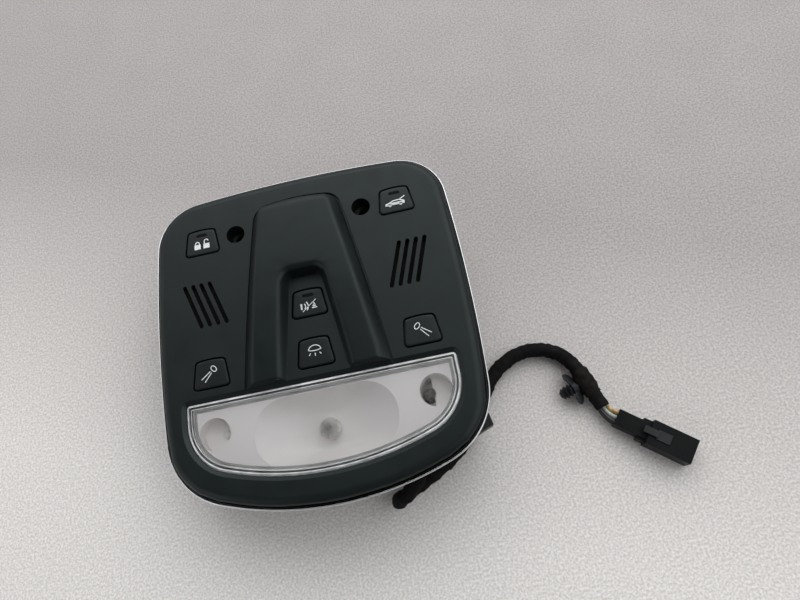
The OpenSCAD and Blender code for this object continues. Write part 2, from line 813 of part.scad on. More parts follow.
// Circuit board and what stands on it
board_half = tub_half - tub_wall - board_gap;
board_low_y = lens_top + 5.5;
board_high_y = tub_top_y - tub_wall - board_gap - 2;
board_corner_r = tub_corner_r - tub_wall;
stake_places = [[board_half - 7, board_low_y + 26], [20, board_high_y - 6]];
stake_r = 1.2;
module circuit_board() {
    color(board_green) difference() {
        prism(
            rounded_box(board_half, board_low_y, board_high_y, 1.5, board_corner_r),
            board_z, board_top_z
        );
        both_sides() {
            post(fix_x, fix_y, fix_bore_r + fix_wall + 0.6, board_z - cut, board_top_z + cut);
            for (p = stake_places)
                post(p[0], p[1], stake_r + fit, board_z - cut, board_top_z + cut);
        }
    }
}
connector_depth = 12;
connector_half = 8;
connector_wall = 1.4;
connector_z = outlet_z - 4.6;
module board_connector() {
    color(lamp_white) difference() {
        slab(
            outlet_x - connector_half, outlet_x + connector_half,
            board_low_y + 1, board_low_y + 1 + connector_depth,
            connector_z, board_z
        );
        slab(
            outlet_x - connector_half + connector_wall, outlet_x + connector_half - connector_wall,
            board_low_y, board_low_y + connector_depth - 2,
            connector_z + 1.2, board_z - 2
        );
    }
}
microphone_x = board_half - 7.6;
microphone_r = 4.8;
microphone_h = 5;
boot_r = 6.6;
module microphone(side) {
    color(metal) post(side * microphone_x, grille_y, microphone_r, board_top_z, board_top_z + microphone_h);
}
mesh_t = 0.5;
module microphone_boot(side) {
    color(deep_black) difference() {
        post(side * microphone_x, grille_y, boot_r, board_top_z, skin_z - mesh_t - 0.1);
        post(side * microphone_x, grille_y, microphone_r + fit, board_top_z - cut, skin_z);
    }
}
module grille_mesh(side) {
    reach = (slot_count - 1) / 2 * slot_pitch + slot_w + 2;
    lean = tan(slot_lean) * (slot_l / 2 + 1);
    color(deep_black)
        scale([side, 1, 1])
            translate([grille_x, grille_y, skin_z - mesh_t])
                linear_extrude(mesh_t) polygon([
                    [lean - reach, slot_l / 2 + 1], [lean + reach, slot_l / 2 + 1],
                    [reach - lean, -slot_l / 2 - 1], [-reach - lean, -slot_l / 2 - 1]
                ]);
}

// Tub at the back, with the flange that closes the skirt of the face panel
flange_t = 2;
flange_z = skirt_z - flange_t;
tab_low_z = 12;
tab_high_z = 20;
function tub_outline(d) = rounded_box(
    tub_half - d, tub_low_y + d, tub_top_y - d, tub_corner_r - d, tub_corner_r - d
);
module rear_housing() {
    color(deep_black) difference() {
        union() {
            difference() {
                union() {
                    prism(tub_outline(0), 0, skirt_z);
                    prism(panel_outline(foot_inset), flange_z, skirt_z);
                    both_sides() bracket_tab();
                }
                prism(tub_outline(tub_wall), tub_wall, skirt_z + cut);
            }
            both_sides() {
                post(fix_x, fix_y, fix_bore_r + fix_wall, 0, fix_boss_z - fit);
                for (p = stake_places) {
                    post(p[0], p[1], stake_r + 1.6, tub_wall - cut, board_z);
                    post(p[0], p[1], stake_r, board_z - cut, board_top_z + 1);
                }
            }
        }
        both_sides() {
            post(fix_x, fix_y, fix_bore_r, -cut, fix_boss_z + cut);
            for (p = screw_places)
                post(p[0], p[1], screw_r + 0.35, flange_z - cut, skirt_z + cut);
        }
        // Relief for the bowl of the reflector
        intersection() {
            bowl(reflector_t + fit, reflector_rim - fit);
            prism(lens_outline(0), flange_z - 3, skirt_z + cut);
        }
        translate([outlet_x, tub_low_y - cut, outlet_z])
            rotate([-90, 0, 0]) cylinder(r = gland_neck_r, h = tub_wall + 2 * cut, $fn = fine);
    }
}
// Hollow tab at a lower corner that hooks into the headliner frame
tab_corners = [[-24.8, 30], [-0.9, 26.4], [0.5, 20.6], [-14.8, 14.9], [-30.8, 22]];
tab_hollow = [[-14.8, 26.8], [-2.4, 25], [-1.5, 21.6], [-14.2, 16.9]];
tab_roof_t = 1.6;
module bracket_tab() {
    translate([panel_w / 2, -panel_l / 2, 0]) difference() {
        translate([0, 0, tab_low_z]) linear_extrude(tab_high_z - tab_low_z) polygon(tab_corners);
        translate([0, 0, tab_low_z - tab_roof_t]) linear_extrude(tab_high_z - tab_low_z)
            polygon(tab_hollow);
    }
}

// A pan head screw that points up, with a cross recess
recess_half_w = 0.4;
recess_half_l = 1.6;
recess_d = 1;
module screw(p) {
    translate([p[0], p[1], 0]) {
        post(0, 0, screw_r, flange_z - cut, skirt_z + screw_reach);
        difference() {
            translate([0, 0, flange_z - screw_head_h])
                cylinder(r1 = screw_head_r - 0.5, r2 = screw_head_r, h = screw_head_h, $fn = fine);
            for (turn = [0, 90])
                rotate([0, 0, turn]) slab(
                    -recess_half_w, recess_half_w, -recess_half_l, recess_half_l,
                    flange_z - screw_head_h - cut, flange_z - screw_head_h + recess_d
                );
        }
    }
}
module housing_screws() {
    color(metal) both_sides() for (p = screw_places) screw(p);
}

// A push button with its flange and stem
button_roof_t = 1.6;
rib_half = 6.8;
rib_half_t = 0.5;
rib_low_z = button_low_z + 1.5;
module button(place, has_window) {
    color(button_black) at(place) difference() {
        union() {
            difference() {
                union() {
                    loft([
                        raised(button_outline(0), button_low_z),
                        raised(button_outline(0), face_z - 0.2),
                        raised(button_outline(0.25), button_top_z - 0.15),
                        raised(button_outline(0.8), button_top_z)
                    ]);
                    prism(
                        button_outline(-button_flange_out),
                        button_flange_z - button_flange_t, button_flange_z
                    );
                }
                prism(button_outline(button_wall), button_low_z - cut, button_top_z - button_roof_t);
            }
            // Stem on a cross of ribs
            post(0, 0, stem_r, plunger_top_z, button_top_z - 1);
            slab(-rib_half, rib_half, -rib_half_t, rib_half_t, rib_low_z, button_top_z - 1);
            slab(-rib_half_t, rib_half_t, -button_h / 2 + 0.6, 0, rib_low_z, button_top_z - 1);
        }
        if (has_window) translate([0, window_y, 0]) {
            slab(
                -window_l / 2, window_l / 2, -window_w / 2, window_w / 2,
                button_low_z, button_top_z + cut
            );
        }
    }
}
window_lip = 0.6;
module window(place) {
    color([0.25, 0.2, 0.12]) at(place) translate([0, window_y, 0]) {
        slab(
            -window_l / 2, window_l / 2, -window_w / 2, window_w / 2,
            button_top_z - 1.7, button_top_z - 0.15
        );
        slab(
            -window_l / 2 - window_lip, window_l / 2 + window_lip,
            -window_w / 2 - window_lip, window_w / 2 + window_lip,
            button_top_z - 4, button_top_z - button_roof_t
        );
    }
}
module switch(place) {
    color(deep_black) at(place) difference() {
        slab(
            -switch_w / 2, switch_w / 2, -switch_w / 2, switch_w / 2,
            board_top_z, switch_top_z
        );
        post(0, 0, plunger_r + plunger_gap, board_top_z + switch_base_t, switch_top_z + cut);
    }
}
module plunger(place) {
    color(lamp_white) at(place) post(0, 0, plunger_r, plunger_low_z, plunger_top_z);
}

// Harness: its lead inside the housing, the gland in the wall and the taped length outside
gland_neck_r = harness_d / 2 + 1.4;
gland_flange_r = gland_neck_r + 1.5;
gland_out = 3;
harness_r = harness_d / 2;
gland_seat_d = 2.4;
module inner_lead() {
    low = tub_low_y + tub_wall + 1;
    color(deep_black) translate([outlet_x, low, outlet_z])
        rotate([-90, 0, 0])
            cylinder(r = harness_r - 0.6, h = board_low_y + connector_depth - 3 - low, $fn = fine);
}
module harness_gland() {
    color(deep_black) translate([outlet_x, tub_low_y, outlet_z]) rotate([90, 0, 0])
        difference() {
            union() {
                translate([0, 0, -tub_wall - 1]) cylinder(r = gland_neck_r - 0.1, h = tub_wall + 2, $fn = fine);
                cylinder(r1 = gland_flange_r, r2 = harness_r + 1, h = gland_out, $fn = fine);
            }
            translate([0, 0, gland_out - gland_seat_d])
                cylinder(r = harness_r + 0.15, h = gland_seat_d + cut, $fn = fine);
        }
}
// The route lies on the surface under the part, from the gland to the end of the tape
harness_route = [
    [37, -62.65, 21], [37, -66.5, 21], [36.7, -70, 21.1], [34, -76, 21], [28.5, -81.4, 18.6],
    [23.2, -83.6, 12.2], [24.6, -82, 6.2], [31.5, -78.6, 3.7], [41, -74, 3.7],
    [52, -67.5, 3.7], [62, -58.5, 3.7], [69.5, -47, 3.7], [78, -34.5, 3.7],
    [86.6, -27.8, 3.7], [96, -24.4, 3.7], [106, -25, 3.8], [114.3, -29.4, 4.2],
    [119.8, -37.3, 4.8], [123, -46.6, 4.9], [127.2, -59, 4.8]
];
// Catmull-Rom point between b and c
function along(a, b, c, d, t) =
    0.5 * (2 * b + (c - a) * t + (2 * a - 5 * b + 4 * c - d) * t * t
        + (3 * b - a - 3 * c + d) * t * t * t);
function spline(route, steps) =
    let (last = len(route) - 1)
    concat(
        [
            for (i = [0 : last - 1]) for (k = [0 : steps - 1])
                along(
                    route[max(i - 1, 0)], route[i], route[i + 1], route[min(i + 2, last)],
                    k / steps
                )
        ],
        [route[last]]
    );
// A tube round a line of points, its rings held square to the line
module tube(line, r, sides) {
    count = len(line);
    rings = [
        for (i = [0 : count - 1])
            let (
                ahead = line[min(i + 1, count - 1)] - line[max(i - 1, 0)],
                d = ahead / norm(ahead),
                level = cross(d, [0, 0, 1]),
                sideways = norm(level) < 0.05 ? [1, 0, 0] : level / norm(level),
                up = cross(sideways, d)
            )
            [
                for (k = [0 : sides - 1])
                    line[i] + r * (cos(360 * k / sides) * sideways + sin(360 * k / sides) * up)
            ]
    ];
    polyhedron(
        points = [for (ring = rings) each ring],
        faces = concat(
            [[for (k = [0 : sides - 1]) k]],
            [
                for (i = [0 : count - 2]) for (k = [0 : sides - 1])
                    let (
                        a = i * sides + k,
                        b = i * sides + (k + 1) % sides
                    )
                    each [[a, b + sides, b], [a, a + sides, b + sides]]
            ],
            [[for (k = [sides - 1 : -1 : 0]) (count - 1) * sides + k]]
        )
    );
}
module harness() {
    color(deep_black) tube(spline(harness_route, 2), harness_r, 12);
}

// Fir tree clip on the harness
clip_place = [122.6, -45.4];
clip_turn = 197.5;
clip_axis_z = 4.8;
clip_reach = 14;
clip_stem_r = 1.6;
clip_foot_x = 6.4;
clip_foot_r = 8.6;
clip_foot_half = 3.8;
clip_foot_t = 1.4;
barb_r = 3.4;
barb_tip_r = 1.8;
barb_h = 1.5;
module harness_clip() {
    saddle_l = 12;
    saddle_half = harness_r + 1.1;
    color([0.2, 0.2, 0.21]) translate([clip_place[0], clip_place[1], clip_axis_z])
        rotate([0, 0, clip_turn]) difference() {
            union() {
                translate([-saddle_half, -saddle_l / 2, -saddle_half])
                    cube([2 * saddle_half, saddle_l, 2 * saddle_half]);
                rotate([0, 90, 0]) cylinder(r = clip_stem_r, h = clip_reach, $fn = fine);
                // Foot that presses on the sheet
                translate([clip_foot_x, 0, 0]) rotate([0, 90, 0]) intersection() {
                    cylinder(r = clip_foot_r, h = clip_foot_t, $fn = fine);
                    slab(
                        -clip_foot_half, clip_foot_half, -clip_foot_r - cut, clip_foot_r + cut,
                        -cut, clip_foot_t + cut
                    );
                }
                // Barbs
                for (x = [9, 11, 13])
                    translate([x, 0, 0]) rotate([0, 90, 0])
                        cylinder(r1 = barb_r, r2 = barb_tip_r, h = barb_h, $fn = fine);
            }
            rotate([90, 0, 0]) cylinder(r = harness_r + 0.35, h = saddle_l + 2, center = true, $fn = fine);
        }
}

// Bare wires between the end of the tape and the cavities of the plug
wire_r = 0.85;
wire_reach = 0.8;
wire_spread = 0.8;
tape_end = harness_route[len(harness_route) - 1];
tape_last = tape_end - harness_route[len(harness_route) - 2];
tape_way = tape_last / norm(tape_last);
module wire_pair(row) {
    for (z = plug_rows_z) {
        across = [-tape_way[1], tape_way[0], 0] * row * wire_spread;
        start = tape_end + 0.1 * tape_way + across + [0, 0, (z - plug_middle_z) * wire_spread];
        tube(spline([
            start, start + 2.2 * [tape_way[0], tape_way[1], 0],
            plug_point(-2.2, row, z), plug_point(wire_reach, row, z)
        ], 2), wire_r, 8);
    }
}
module wire_yellow() {
    color([0.85, 0.6, 0.2]) wire_pair(plug_row_y);
}
module wire_white() {
    color([0.75, 0.78, 0.74]) wire_pair(0);
}
module wire_black() {
    color(deep_black) wire_pair(-plug_row_y);
}

// Plug at the end of the harness, lying on the surface
plug_place = [131.6, -64.9];
plug_turn = -38.3;
plug_rear_l = 15.5;
plug_rear_w = 8;
plug_rear_h = 7;
plug_rear_z = 1.2;
plug_wall = 1.3;
plug_floor_t = 1.4;
plug_rib_y = 4.2;
plug_rib_half = 1.2;
cavity_d = 2.5;
latch_slot_d = 0.8;
latch_half = 2.4;
latch_arm_half = 1.6;
plug_l = 36.4;
plug_w = 12;
plug_h = 10;
plug_mouth_d = 12;
plug_row_y = 2.4;
plug_rows_z = [3, 6.2];
plug_middle_z = 4.6;
function plug_point(x, y, z) = [
    plug_place[0] + x * cos(plug_turn) - y * sin(plug_turn),
    plug_place[1] + x * sin(plug_turn) + y * cos(plug_turn),
    z
];
module in_plug() {
    translate([plug_place[0], plug_place[1], 0]) rotate([0, 0, plug_turn]) children();
}
module plug_body() {
    color(deep_black) in_plug() difference() {
        union() {
            slab(
                0, plug_rear_l + 1, -plug_rear_w / 2, plug_rear_w / 2,
                plug_rear_z, plug_rear_z + plug_rear_h
            );
            slab(plug_rear_l, plug_l, -plug_w / 2, plug_w / 2, 0, plug_h);
            // Shoulder ribs beside the mouth
            for (side = [-1, 1])
                slab(
                    plug_rear_l - 4, plug_rear_l + 1,
                    side * plug_rib_y - plug_rib_half, side * plug_rib_y + plug_rib_half,
                    plug_rear_z, plug_rear_z + plug_rear_h - 1
                );
        }
        // Mouth
        slab(
            plug_l - plug_mouth_d, plug_l + cut, plug_wall - plug_w / 2, plug_w / 2 - plug_wall,
            plug_floor_t, plug_h - plug_floor_t
        );
        // Wire cavities
        for (y = [-plug_row_y, 0, plug_row_y]) for (z = plug_rows_z)
            translate([-cut, y, z]) rotate([0, 90, 0])
                cylinder(r = wire_r + 0.15, h = cavity_d + cut, $fn = 24);
        // Slot of the latch
        slab(
            plug_rear_l + 3, plug_rear_l + 10, -latch_half - fit, latch_half + fit,
            plug_h - latch_slot_d, plug_h + cut
        );
    }
}
module plug_latch() {
    color([0.3, 0.31, 0.32]) in_plug() {
        slab(
            plug_rear_l + 3 + fit, plug_rear_l + 10 - fit, -latch_half, latch_half,
            plug_h - latch_slot_d, plug_h + 0.5
        );
        slab(
            plug_rear_l - 3, plug_rear_l + 4, -latch_arm_half, latch_arm_half,
            plug_h + 0.2, plug_h + 1.1
        );
    }
}

face_panel();
trim_ring();
lens();
reflector();
dome_bulb();
dome_bulb_holder();
reading_bulb(-1);  // reading_bulb_left
reading_bulb(1);  // reading_bulb_right
reading_bulb_holder(-1);  // reading_bulb_holder_left
reading_bulb_holder(1);  // reading_bulb_holder_right
circuit_board();
board_connector();
inner_lead();
microphone(-1);  // microphone_left
microphone(1);  // microphone_right
microphone_boot(-1);  // microphone_boot_left
microphone_boot(1);  // microphone_boot_right
grille_mesh(-1);  // grille_mesh_left
grille_mesh(1);  // grille_mesh_right
rear_housing();
housing_screws();
button(place_lock, true);  // button_lock
button(place_tailgate, true);  // button_tailgate
button(place_parking, true);  // button_parking
button(place_dome, false);  // button_dome
button(place_reading_left, false);  // button_reading_left
button(place_reading_right, false);  // button_reading_right
window(place_lock);  // window_lock
window(place_tailgate);  // window_tailgate
window(place_parking);  // window_parking
switch(place_lock);  // switch_lock
switch(place_tailgate);  // switch_tailgate
switch(place_parking);  // switch_parking
switch(place_dome);  // switch_dome
switch(place_reading_left);  // switch_reading_left
switch(place_reading_right);  // switch_reading_right
plunger(place_lock);  // plunger_lock
plunger(place_tailgate);  // plunger_tailgate
plunger(place_parking);  // plunger_parking
plunger(place_dome);  // plunger_dome
plunger(place_reading_left);  // plunger_reading_left
plunger(place_reading_right);  // plunger_reading_right
harness_gland();
harness();
harness_clip();
wire_yellow();
wire_white();
wire_black();
plug_body();
plug_latch();
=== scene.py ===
"""Studio scene of a car overhead console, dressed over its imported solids."""
import json
import math

import bpy
import bmesh
from mathutils import Matrix, Vector

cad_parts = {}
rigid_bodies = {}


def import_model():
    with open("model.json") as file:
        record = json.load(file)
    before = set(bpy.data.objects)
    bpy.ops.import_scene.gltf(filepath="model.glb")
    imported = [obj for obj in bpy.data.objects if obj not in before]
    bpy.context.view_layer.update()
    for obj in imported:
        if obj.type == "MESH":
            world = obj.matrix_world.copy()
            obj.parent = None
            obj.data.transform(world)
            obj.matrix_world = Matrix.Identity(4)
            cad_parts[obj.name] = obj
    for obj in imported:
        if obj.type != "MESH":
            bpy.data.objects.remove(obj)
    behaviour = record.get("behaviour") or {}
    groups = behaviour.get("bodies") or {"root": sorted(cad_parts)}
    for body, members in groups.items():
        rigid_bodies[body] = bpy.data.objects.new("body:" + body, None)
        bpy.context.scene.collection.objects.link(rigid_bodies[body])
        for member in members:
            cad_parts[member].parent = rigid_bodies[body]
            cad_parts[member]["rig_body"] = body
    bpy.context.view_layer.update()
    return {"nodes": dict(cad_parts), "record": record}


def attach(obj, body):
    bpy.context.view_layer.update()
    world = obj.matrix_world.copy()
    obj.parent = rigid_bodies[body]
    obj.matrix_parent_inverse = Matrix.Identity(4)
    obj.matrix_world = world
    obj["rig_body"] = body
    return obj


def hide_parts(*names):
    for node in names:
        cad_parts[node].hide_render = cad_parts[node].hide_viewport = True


# Sizes shared by several pieces, in millimetres as all sizes here that don't say otherwise
MM = 0.001
FACE_Z = 44.0
BUTTON_TOP_Z = 44.3
BEVEL_W = 1.9
LENS_TOP = -27.0
LENS_GAP = 0.35

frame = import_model()
nodes = frame["nodes"]
scene = bpy.context.scene


# Camera at the viewing angle of the photograph
CAMERA_PLACE = (57.7, -95.5, 304.9)
CAMERA_RIGHT = (0.9767, -0.1766, -0.1218)
CAMERA_UP = (0.2078, 0.9199, 0.3326)
CAMERA_BACK = (0.0533, -0.3501, 0.9352)
CAMERA_LENS = 27.0
CAMERA_SENSOR = 36.0


def add_camera():
    data = bpy.data.cameras.new("camera")
    data.sensor_width = CAMERA_SENSOR
    data.lens = CAMERA_LENS
    data.clip_start = 0.01
    camera = bpy.data.objects.new("camera", data)
    scene.collection.objects.link(camera)
    turn = Matrix((CAMERA_RIGHT, CAMERA_UP, CAMERA_BACK)).transposed().to_4x4()
    camera.matrix_world = Matrix.Translation(Vector(CAMERA_PLACE) * MM) @ turn
    scene.camera = camera


# Materials
class Look:
    """A node material that grows from a principled shader."""

    def __init__(self, name, **values):
        self.material = bpy.data.materials.new(name)
        self.material.use_nodes = True
        self.tree = self.material.node_tree
        self.shader = self.tree.nodes["Principled BSDF"]
        for key, value in values.items():
            self.shader.inputs[key.replace("_", " ")].default_value = value

    def add(self, kind, **values):
        node = self.tree.nodes.new(kind)
        for key, value in values.items():
            if hasattr(node, key):
                setattr(node, key, value)
            else:
                node.inputs[key.replace("_", " ")].default_value = value
        return node

    def link(self, source, target):
        self.tree.links.new(source, target)

    def place(self):
        return self.add("ShaderNodeTexCoord").outputs["Object"]

    def height(self):
        split = self.add("ShaderNodeSeparateXYZ")
        self.link(self.place(), split.inputs["Vector"])
        return split.outputs["Z"]

    def noise(self, scale, detail=3.0, rough=0.5):
        node = self.add("ShaderNodeTexNoise", Scale=scale, Detail=detail, Roughness=rough)
        self.link(self.place(), node.inputs["Vector"])
        return node.outputs["Fac"]

    def ramp(self, source, stops):
        node = self.add("ShaderNodeValToRGB")
        band = node.color_ramp
        while len(band.elements) < len(stops):
            band.elements.new(0.5)
        for element, (at, colour) in zip(band.elements, stops):
            element.position = at
            element.color = (*colour, 1.0)
        self.link(source, node.inputs["Fac"])
        return node.outputs["Color"]

    def span(self, source, low, high, out_low, out_high):
        node = self.add("ShaderNodeMapRange")
        node.inputs["From Min"].default_value = low
        node.inputs["From Max"].default_value = high
        node.inputs["To Min"].default_value = out_low
        node.inputs["To Max"].default_value = out_high
        self.link(source, node.inputs["Value"])
        return node.outputs["Result"]

    def bump(self, source, strength, distance, after=None):
        node = self.add("ShaderNodeBump", Strength=strength, Distance=distance)
        self.link(source, node.inputs["Height"])
        if after is not None:
            self.link(after, node.inputs["Normal"])
        self.link(node.outputs["Normal"], self.shader.inputs["Normal"])

    def to(self, source, socket):
        self.link(source, self.shader.inputs[socket])

    def colour(self, scale, detail, low, high):
        """Cloudy base colour; low and high are (place on the ramp, colour)."""
        self.to(self.ramp(self.noise(scale, detail), [low, high]), "Base Color")

    def gloss(self, scale, detail, rough_low, rough_high, low=0.3, high=0.7):
        """Roughness that wanders between two values."""
        self.to(self.span(self.noise(scale, detail), low, high, rough_low, rough_high), "Roughness")


# Heights in metres between which the rounding of the edges grows, and how far they are rounded
BRIDGE_RISE = (0.0441, 0.0447)
EDGE_ROUNDING = (0.0003, 0.0020)
# Heights in metres of the frosted underside of the lens and its clear face, and their roughness
LENS_SKIN = (0.0416, 0.0426)
LENS_FROST = (0.2, 0.02)


def grained_plastic(name, dark, light, rough, specular=0.27):
    """Moulded plastic with fine grain, faint cloudiness and rounded edges."""
    look = Look(name)
    look.colour(35.0, 5.0, (0.35, dark), (0.68, light))
    look.gloss(90.0, 4.0, rough - 0.05, rough + 0.06)
    edge = look.add("ShaderNodeBevel", samples=6)
    look.link(look.span(look.height(), *BRIDGE_RISE, *EDGE_ROUNDING), edge.inputs["Radius"])
    look.bump(look.noise(2600.0, 2.0), 0.35, 0.00004, edge.outputs["Normal"])
    look.shader.inputs["Specular IOR Level"].default_value = specular
    look.shader.inputs["Specular Tint"].default_value = (0.88, 0.98, 1.0, 1.0)
    return look.material


def chrome_look(name, low, high, rough_low, rough_high):
    look = Look(name, Metallic=1.0)
    look.colour(60.0, 4.0, (0.3, low), (0.7, high))
    look.gloss(400.0, 3.0, rough_low, rough_high)
    return look.material


def painted_rim_look(name, low, high, rough):
    """Painted highlight and painted shade at the rim of the lens: bright lines and grey bands."""
    look = Look(name)
    look.colour(150.0, 4.0, (0.35, low), (0.65, high))
    look.gloss(300.0, 2.0, rough - 0.08, rough + 0.08)
    return look.material


def clear_look():
    """Clear lens with a frosted underside."""
    look = Look("clear lens", Transmission_Weight=1.0, IOR=1.49)
    look.shader.inputs["Base Color"].default_value = (0.985, 0.985, 0.985, 1.0)
    rough = look.add("ShaderNodeMath", operation="ADD")
    look.link(look.span(look.height(), *LENS_SKIN, *LENS_FROST), rough.inputs[0])
    look.link(look.span(look.noise(220.0, 3.0), 0.35, 0.7, 0.0, 0.05), rough.inputs[1])
    look.to(rough.outputs["Value"], "Roughness")
    return look.material


def bulb_look(name, axis, reach, heart, rim, clear):
    """Frosted envelope with painted shade: darker round its axis, lighter towards its rim."""
    look = Look(name, Transmission_Weight=clear, IOR=1.45)
    grain = look.ramp(look.noise(160.0, 3.0), [(0.35, (0.86, 0.86, 0.86)), (0.65, (1.0, 1.0, 1.0))])
    flat = look.add("ShaderNodeVectorMath", operation="MULTIPLY")
    flat.inputs[1].default_value = (1.0, 1.0, 0.0)
    look.link(look.place(), flat.inputs[0])
    away = look.add("ShaderNodeVectorMath", operation="DISTANCE")
    away.inputs[1].default_value = axis
    look.link(flat.outputs["Vector"], away.inputs[0])
    share = look.span(away.outputs["Value"], 0.2 * reach, reach, 0.0, 1.0)
    both = look.add("ShaderNodeMix", data_type="RGBA", blend_type="MULTIPLY")
    both.inputs["Factor"].default_value = 1.0
    look.link(look.ramp(share, [(0.0, heart), (1.0, rim)]), both.inputs["A"])
    look.link(grain, both.inputs["B"])
    look.to(both.outputs["Result"], "Base Color")
    look.gloss(300.0, 2.0, 0.2, 0.4, 0.35)
    return look.material


def lamp_white_look():
    look = Look("lamp white")
    look.colour(45.0, 4.0, (0.3, (0.90, 0.865, 0.85)), (0.7, (0.94, 0.905, 0.89)))
    look.gloss(120.0, 3.0, 0.32, 0.42)
    look.bump(look.noise(900.0, 2.0), 0.15, 0.00004)
    return look.material


def metal_look():
    look = Look("zinc plate", Metallic=1.0)
    look.colour(300.0, 3.0, (0.3, (0.42, 0.41, 0.38)), (0.7, (0.6, 0.59, 0.56)))
    look.gloss(900.0, 3.0, 0.3, 0.45)
    return look.material


def board_look():
    look = Look("circuit board")
    look.colour(500.0, 2.0, (0.45, (0.01, 0.07, 0.03)), (0.55, (0.02, 0.12, 0.05)))
    look.gloss(200.0, 2.0, 0.3, 0.4)
    return look.material


def woven_look(name, colour, scale):
    """Fine black weave, for the mesh behind the grilles and the cloth tape."""
    look = Look(name)
    wave_a = look.add("ShaderNodeTexWave", Scale=scale, Distortion=0.6)
    wave_b = look.add("ShaderNodeTexWave", Scale=scale, Distortion=0.6, bands_direction="Y")
    for wave in (wave_a, wave_b):
        look.link(look.place(), wave.inputs["Vector"])
    mix = look.add("ShaderNodeMath", operation="MAXIMUM")
    look.link(wave_a.outputs["Fac"], mix.inputs[0])
    look.link(wave_b.outputs["Fac"], mix.inputs[1])
    bright = tuple(2.1 * c for c in colour)
    look.colour(420.0, 4.0, (0.35, colour), (0.75, bright))
    look.gloss(150.0, 3.0, 0.72, 0.9)
    look.bump(mix.outputs["Value"], 0.35, 0.00006)
    look.shader.inputs["Specular IOR Level"].default_value = 0.12
    return look.material


def insulation_look(name, colour):
    look = Look(name)
    soiled = tuple(0.55 * c for c in colour)
    look.colour(700.0, 3.0, (0.3, soiled), (0.55, colour))
    look.gloss(300.0, 2.0, 0.35, 0.5)
    return look.material


def legend_look():
    look = Look("legend white")
    look.colour(1500.0, 2.0, (0.3, (0.62, 0.63, 0.62)), (0.6, (0.8, 0.81, 0.8)))
    look.gloss(300.0, 2.0, 0.4, 0.55)
    return look.material


def floor_look():
    """Pale grained sheet with painted light: brighter towards the front left and darker towards the back.
    """
    look = Look("pale sheet painted light")
    fine = look.noise(900.0, 4.0, 0.6)
    # Painted light: the colour runs from the brighter near ramp to the darker far ramp along this
    # direction.
    away = look.add("ShaderNodeVectorMath", operation="DOT_PRODUCT")
    away.inputs[1].default_value = (0.36, 0.93, 0.0)
    look.link(look.place(), away.inputs[0])
    near = look.ramp(fine, [(0.38, (0.6, 0.568, 0.545)), (0.64, (0.85, 0.815, 0.785))])
    far = look.ramp(fine, [(0.38, (0.32, 0.296, 0.287)), (0.64, (0.49, 0.452, 0.44))])
    mix = look.add("ShaderNodeMix", data_type="RGBA")
    look.link(look.span(away.outputs["Value"], -0.08, 0.09, 0.0, 1.0), mix.inputs["Factor"])
    look.link(near, mix.inputs["A"])
    look.link(far, mix.inputs["B"])
    look.to(mix.outputs["Result"], "Base Color")
    look.gloss(40.0, 2.0, 0.55, 0.7)
    look.bump(fine, 0.3, 0.0003)
    return look.material


LOOKS = {
    "panel_black": grained_plastic("panel black", (0.0042, 0.0062, 0.0060), (0.0065, 0.0092, 0.0090), 0.42),
    "button_black": grained_plastic("button black", (0.004, 0.0052, 0.0054), (0.0062, 0.0078, 0.008), 0.4),
    "housing_black": grained_plastic("housing black", (0.010, 0.010, 0.010), (0.019, 0.019, 0.019), 0.5),
    "rubber_black": grained_plastic("rubber black", (0.009, 0.009, 0.009), (0.016, 0.016, 0.016), 0.68),
    "plug_black": grained_plastic("plug black", (0.0035, 0.0035, 0.0035), (0.008, 0.008, 0.008), 0.38, 0.1),
    "clip_grey": grained_plastic("clip grey", (0.010, 0.010, 0.011), (0.024, 0.024, 0.026), 0.42, 0.2),
    "window_amber": grained_plastic(
        "indicator window", (0.001, 0.001, 0.001), (0.003, 0.0027, 0.002), 0.5, 0.1
    ),
    "connector_white": grained_plastic("natural nylon", (0.5, 0.48, 0.42), (0.62, 0.6, 0.54), 0.4),
    "chrome": chrome_look("bright trim", (0.72, 0.73, 0.74), (0.82, 0.83, 0.84), 0.05, 0.14),
    "clear": clear_look(),
    "lamp_white": lamp_white_look(),
    "metal": metal_look(),
    "board": board_look(),
    "mesh_black": woven_look("grille mesh", (0.002, 0.002, 0.002), 260.0),
    "tape": woven_look("cloth tape", (0.0035, 0.0035, 0.0033), 210.0),
    "wire_yellow": insulation_look("yellow insulation", (0.5, 0.33, 0.12)),
    "wire_white": insulation_look("white insulation", (0.42, 0.45, 0.42)),
    "wire_black": insulation_look("black insulation", (0.012, 0.012, 0.012)),
}
BULB_LOOKS = {
    # The dome bulb carries painted shade, dark round its middle.
    "dome_bulb": bulb_look(
        "dome bulb", (0.0, -0.048, 0.0), 0.005, (0.3, 0.285, 0.26), (0.8, 0.77, 0.74), 0.1
    ),
    # The reading bulbs are lit and shaded copies of one glass: the left one is painted light, nearly white,
    # and the right one is painted shade, dark.
    "reading_bulb_left": bulb_look(
        "left bulb painted light", (-0.0474, -0.0417, 0.0), 0.0025, (0.9, 0.87, 0.85), (0.94, 0.91, 0.89), 0.0
    ),
    "reading_bulb_right": bulb_look(
        "right bulb painted shade", (0.0474, -0.0417, 0.0), 0.0025, (0.14, 0.13, 0.12), (0.34, 0.33, 0.31), 0.3
    ),
}
LEGEND = legend_look()
RING_DARK = chrome_look("shaded trim", (0.03, 0.034, 0.034), (0.06, 0.065, 0.066), 0.12, 0.24)
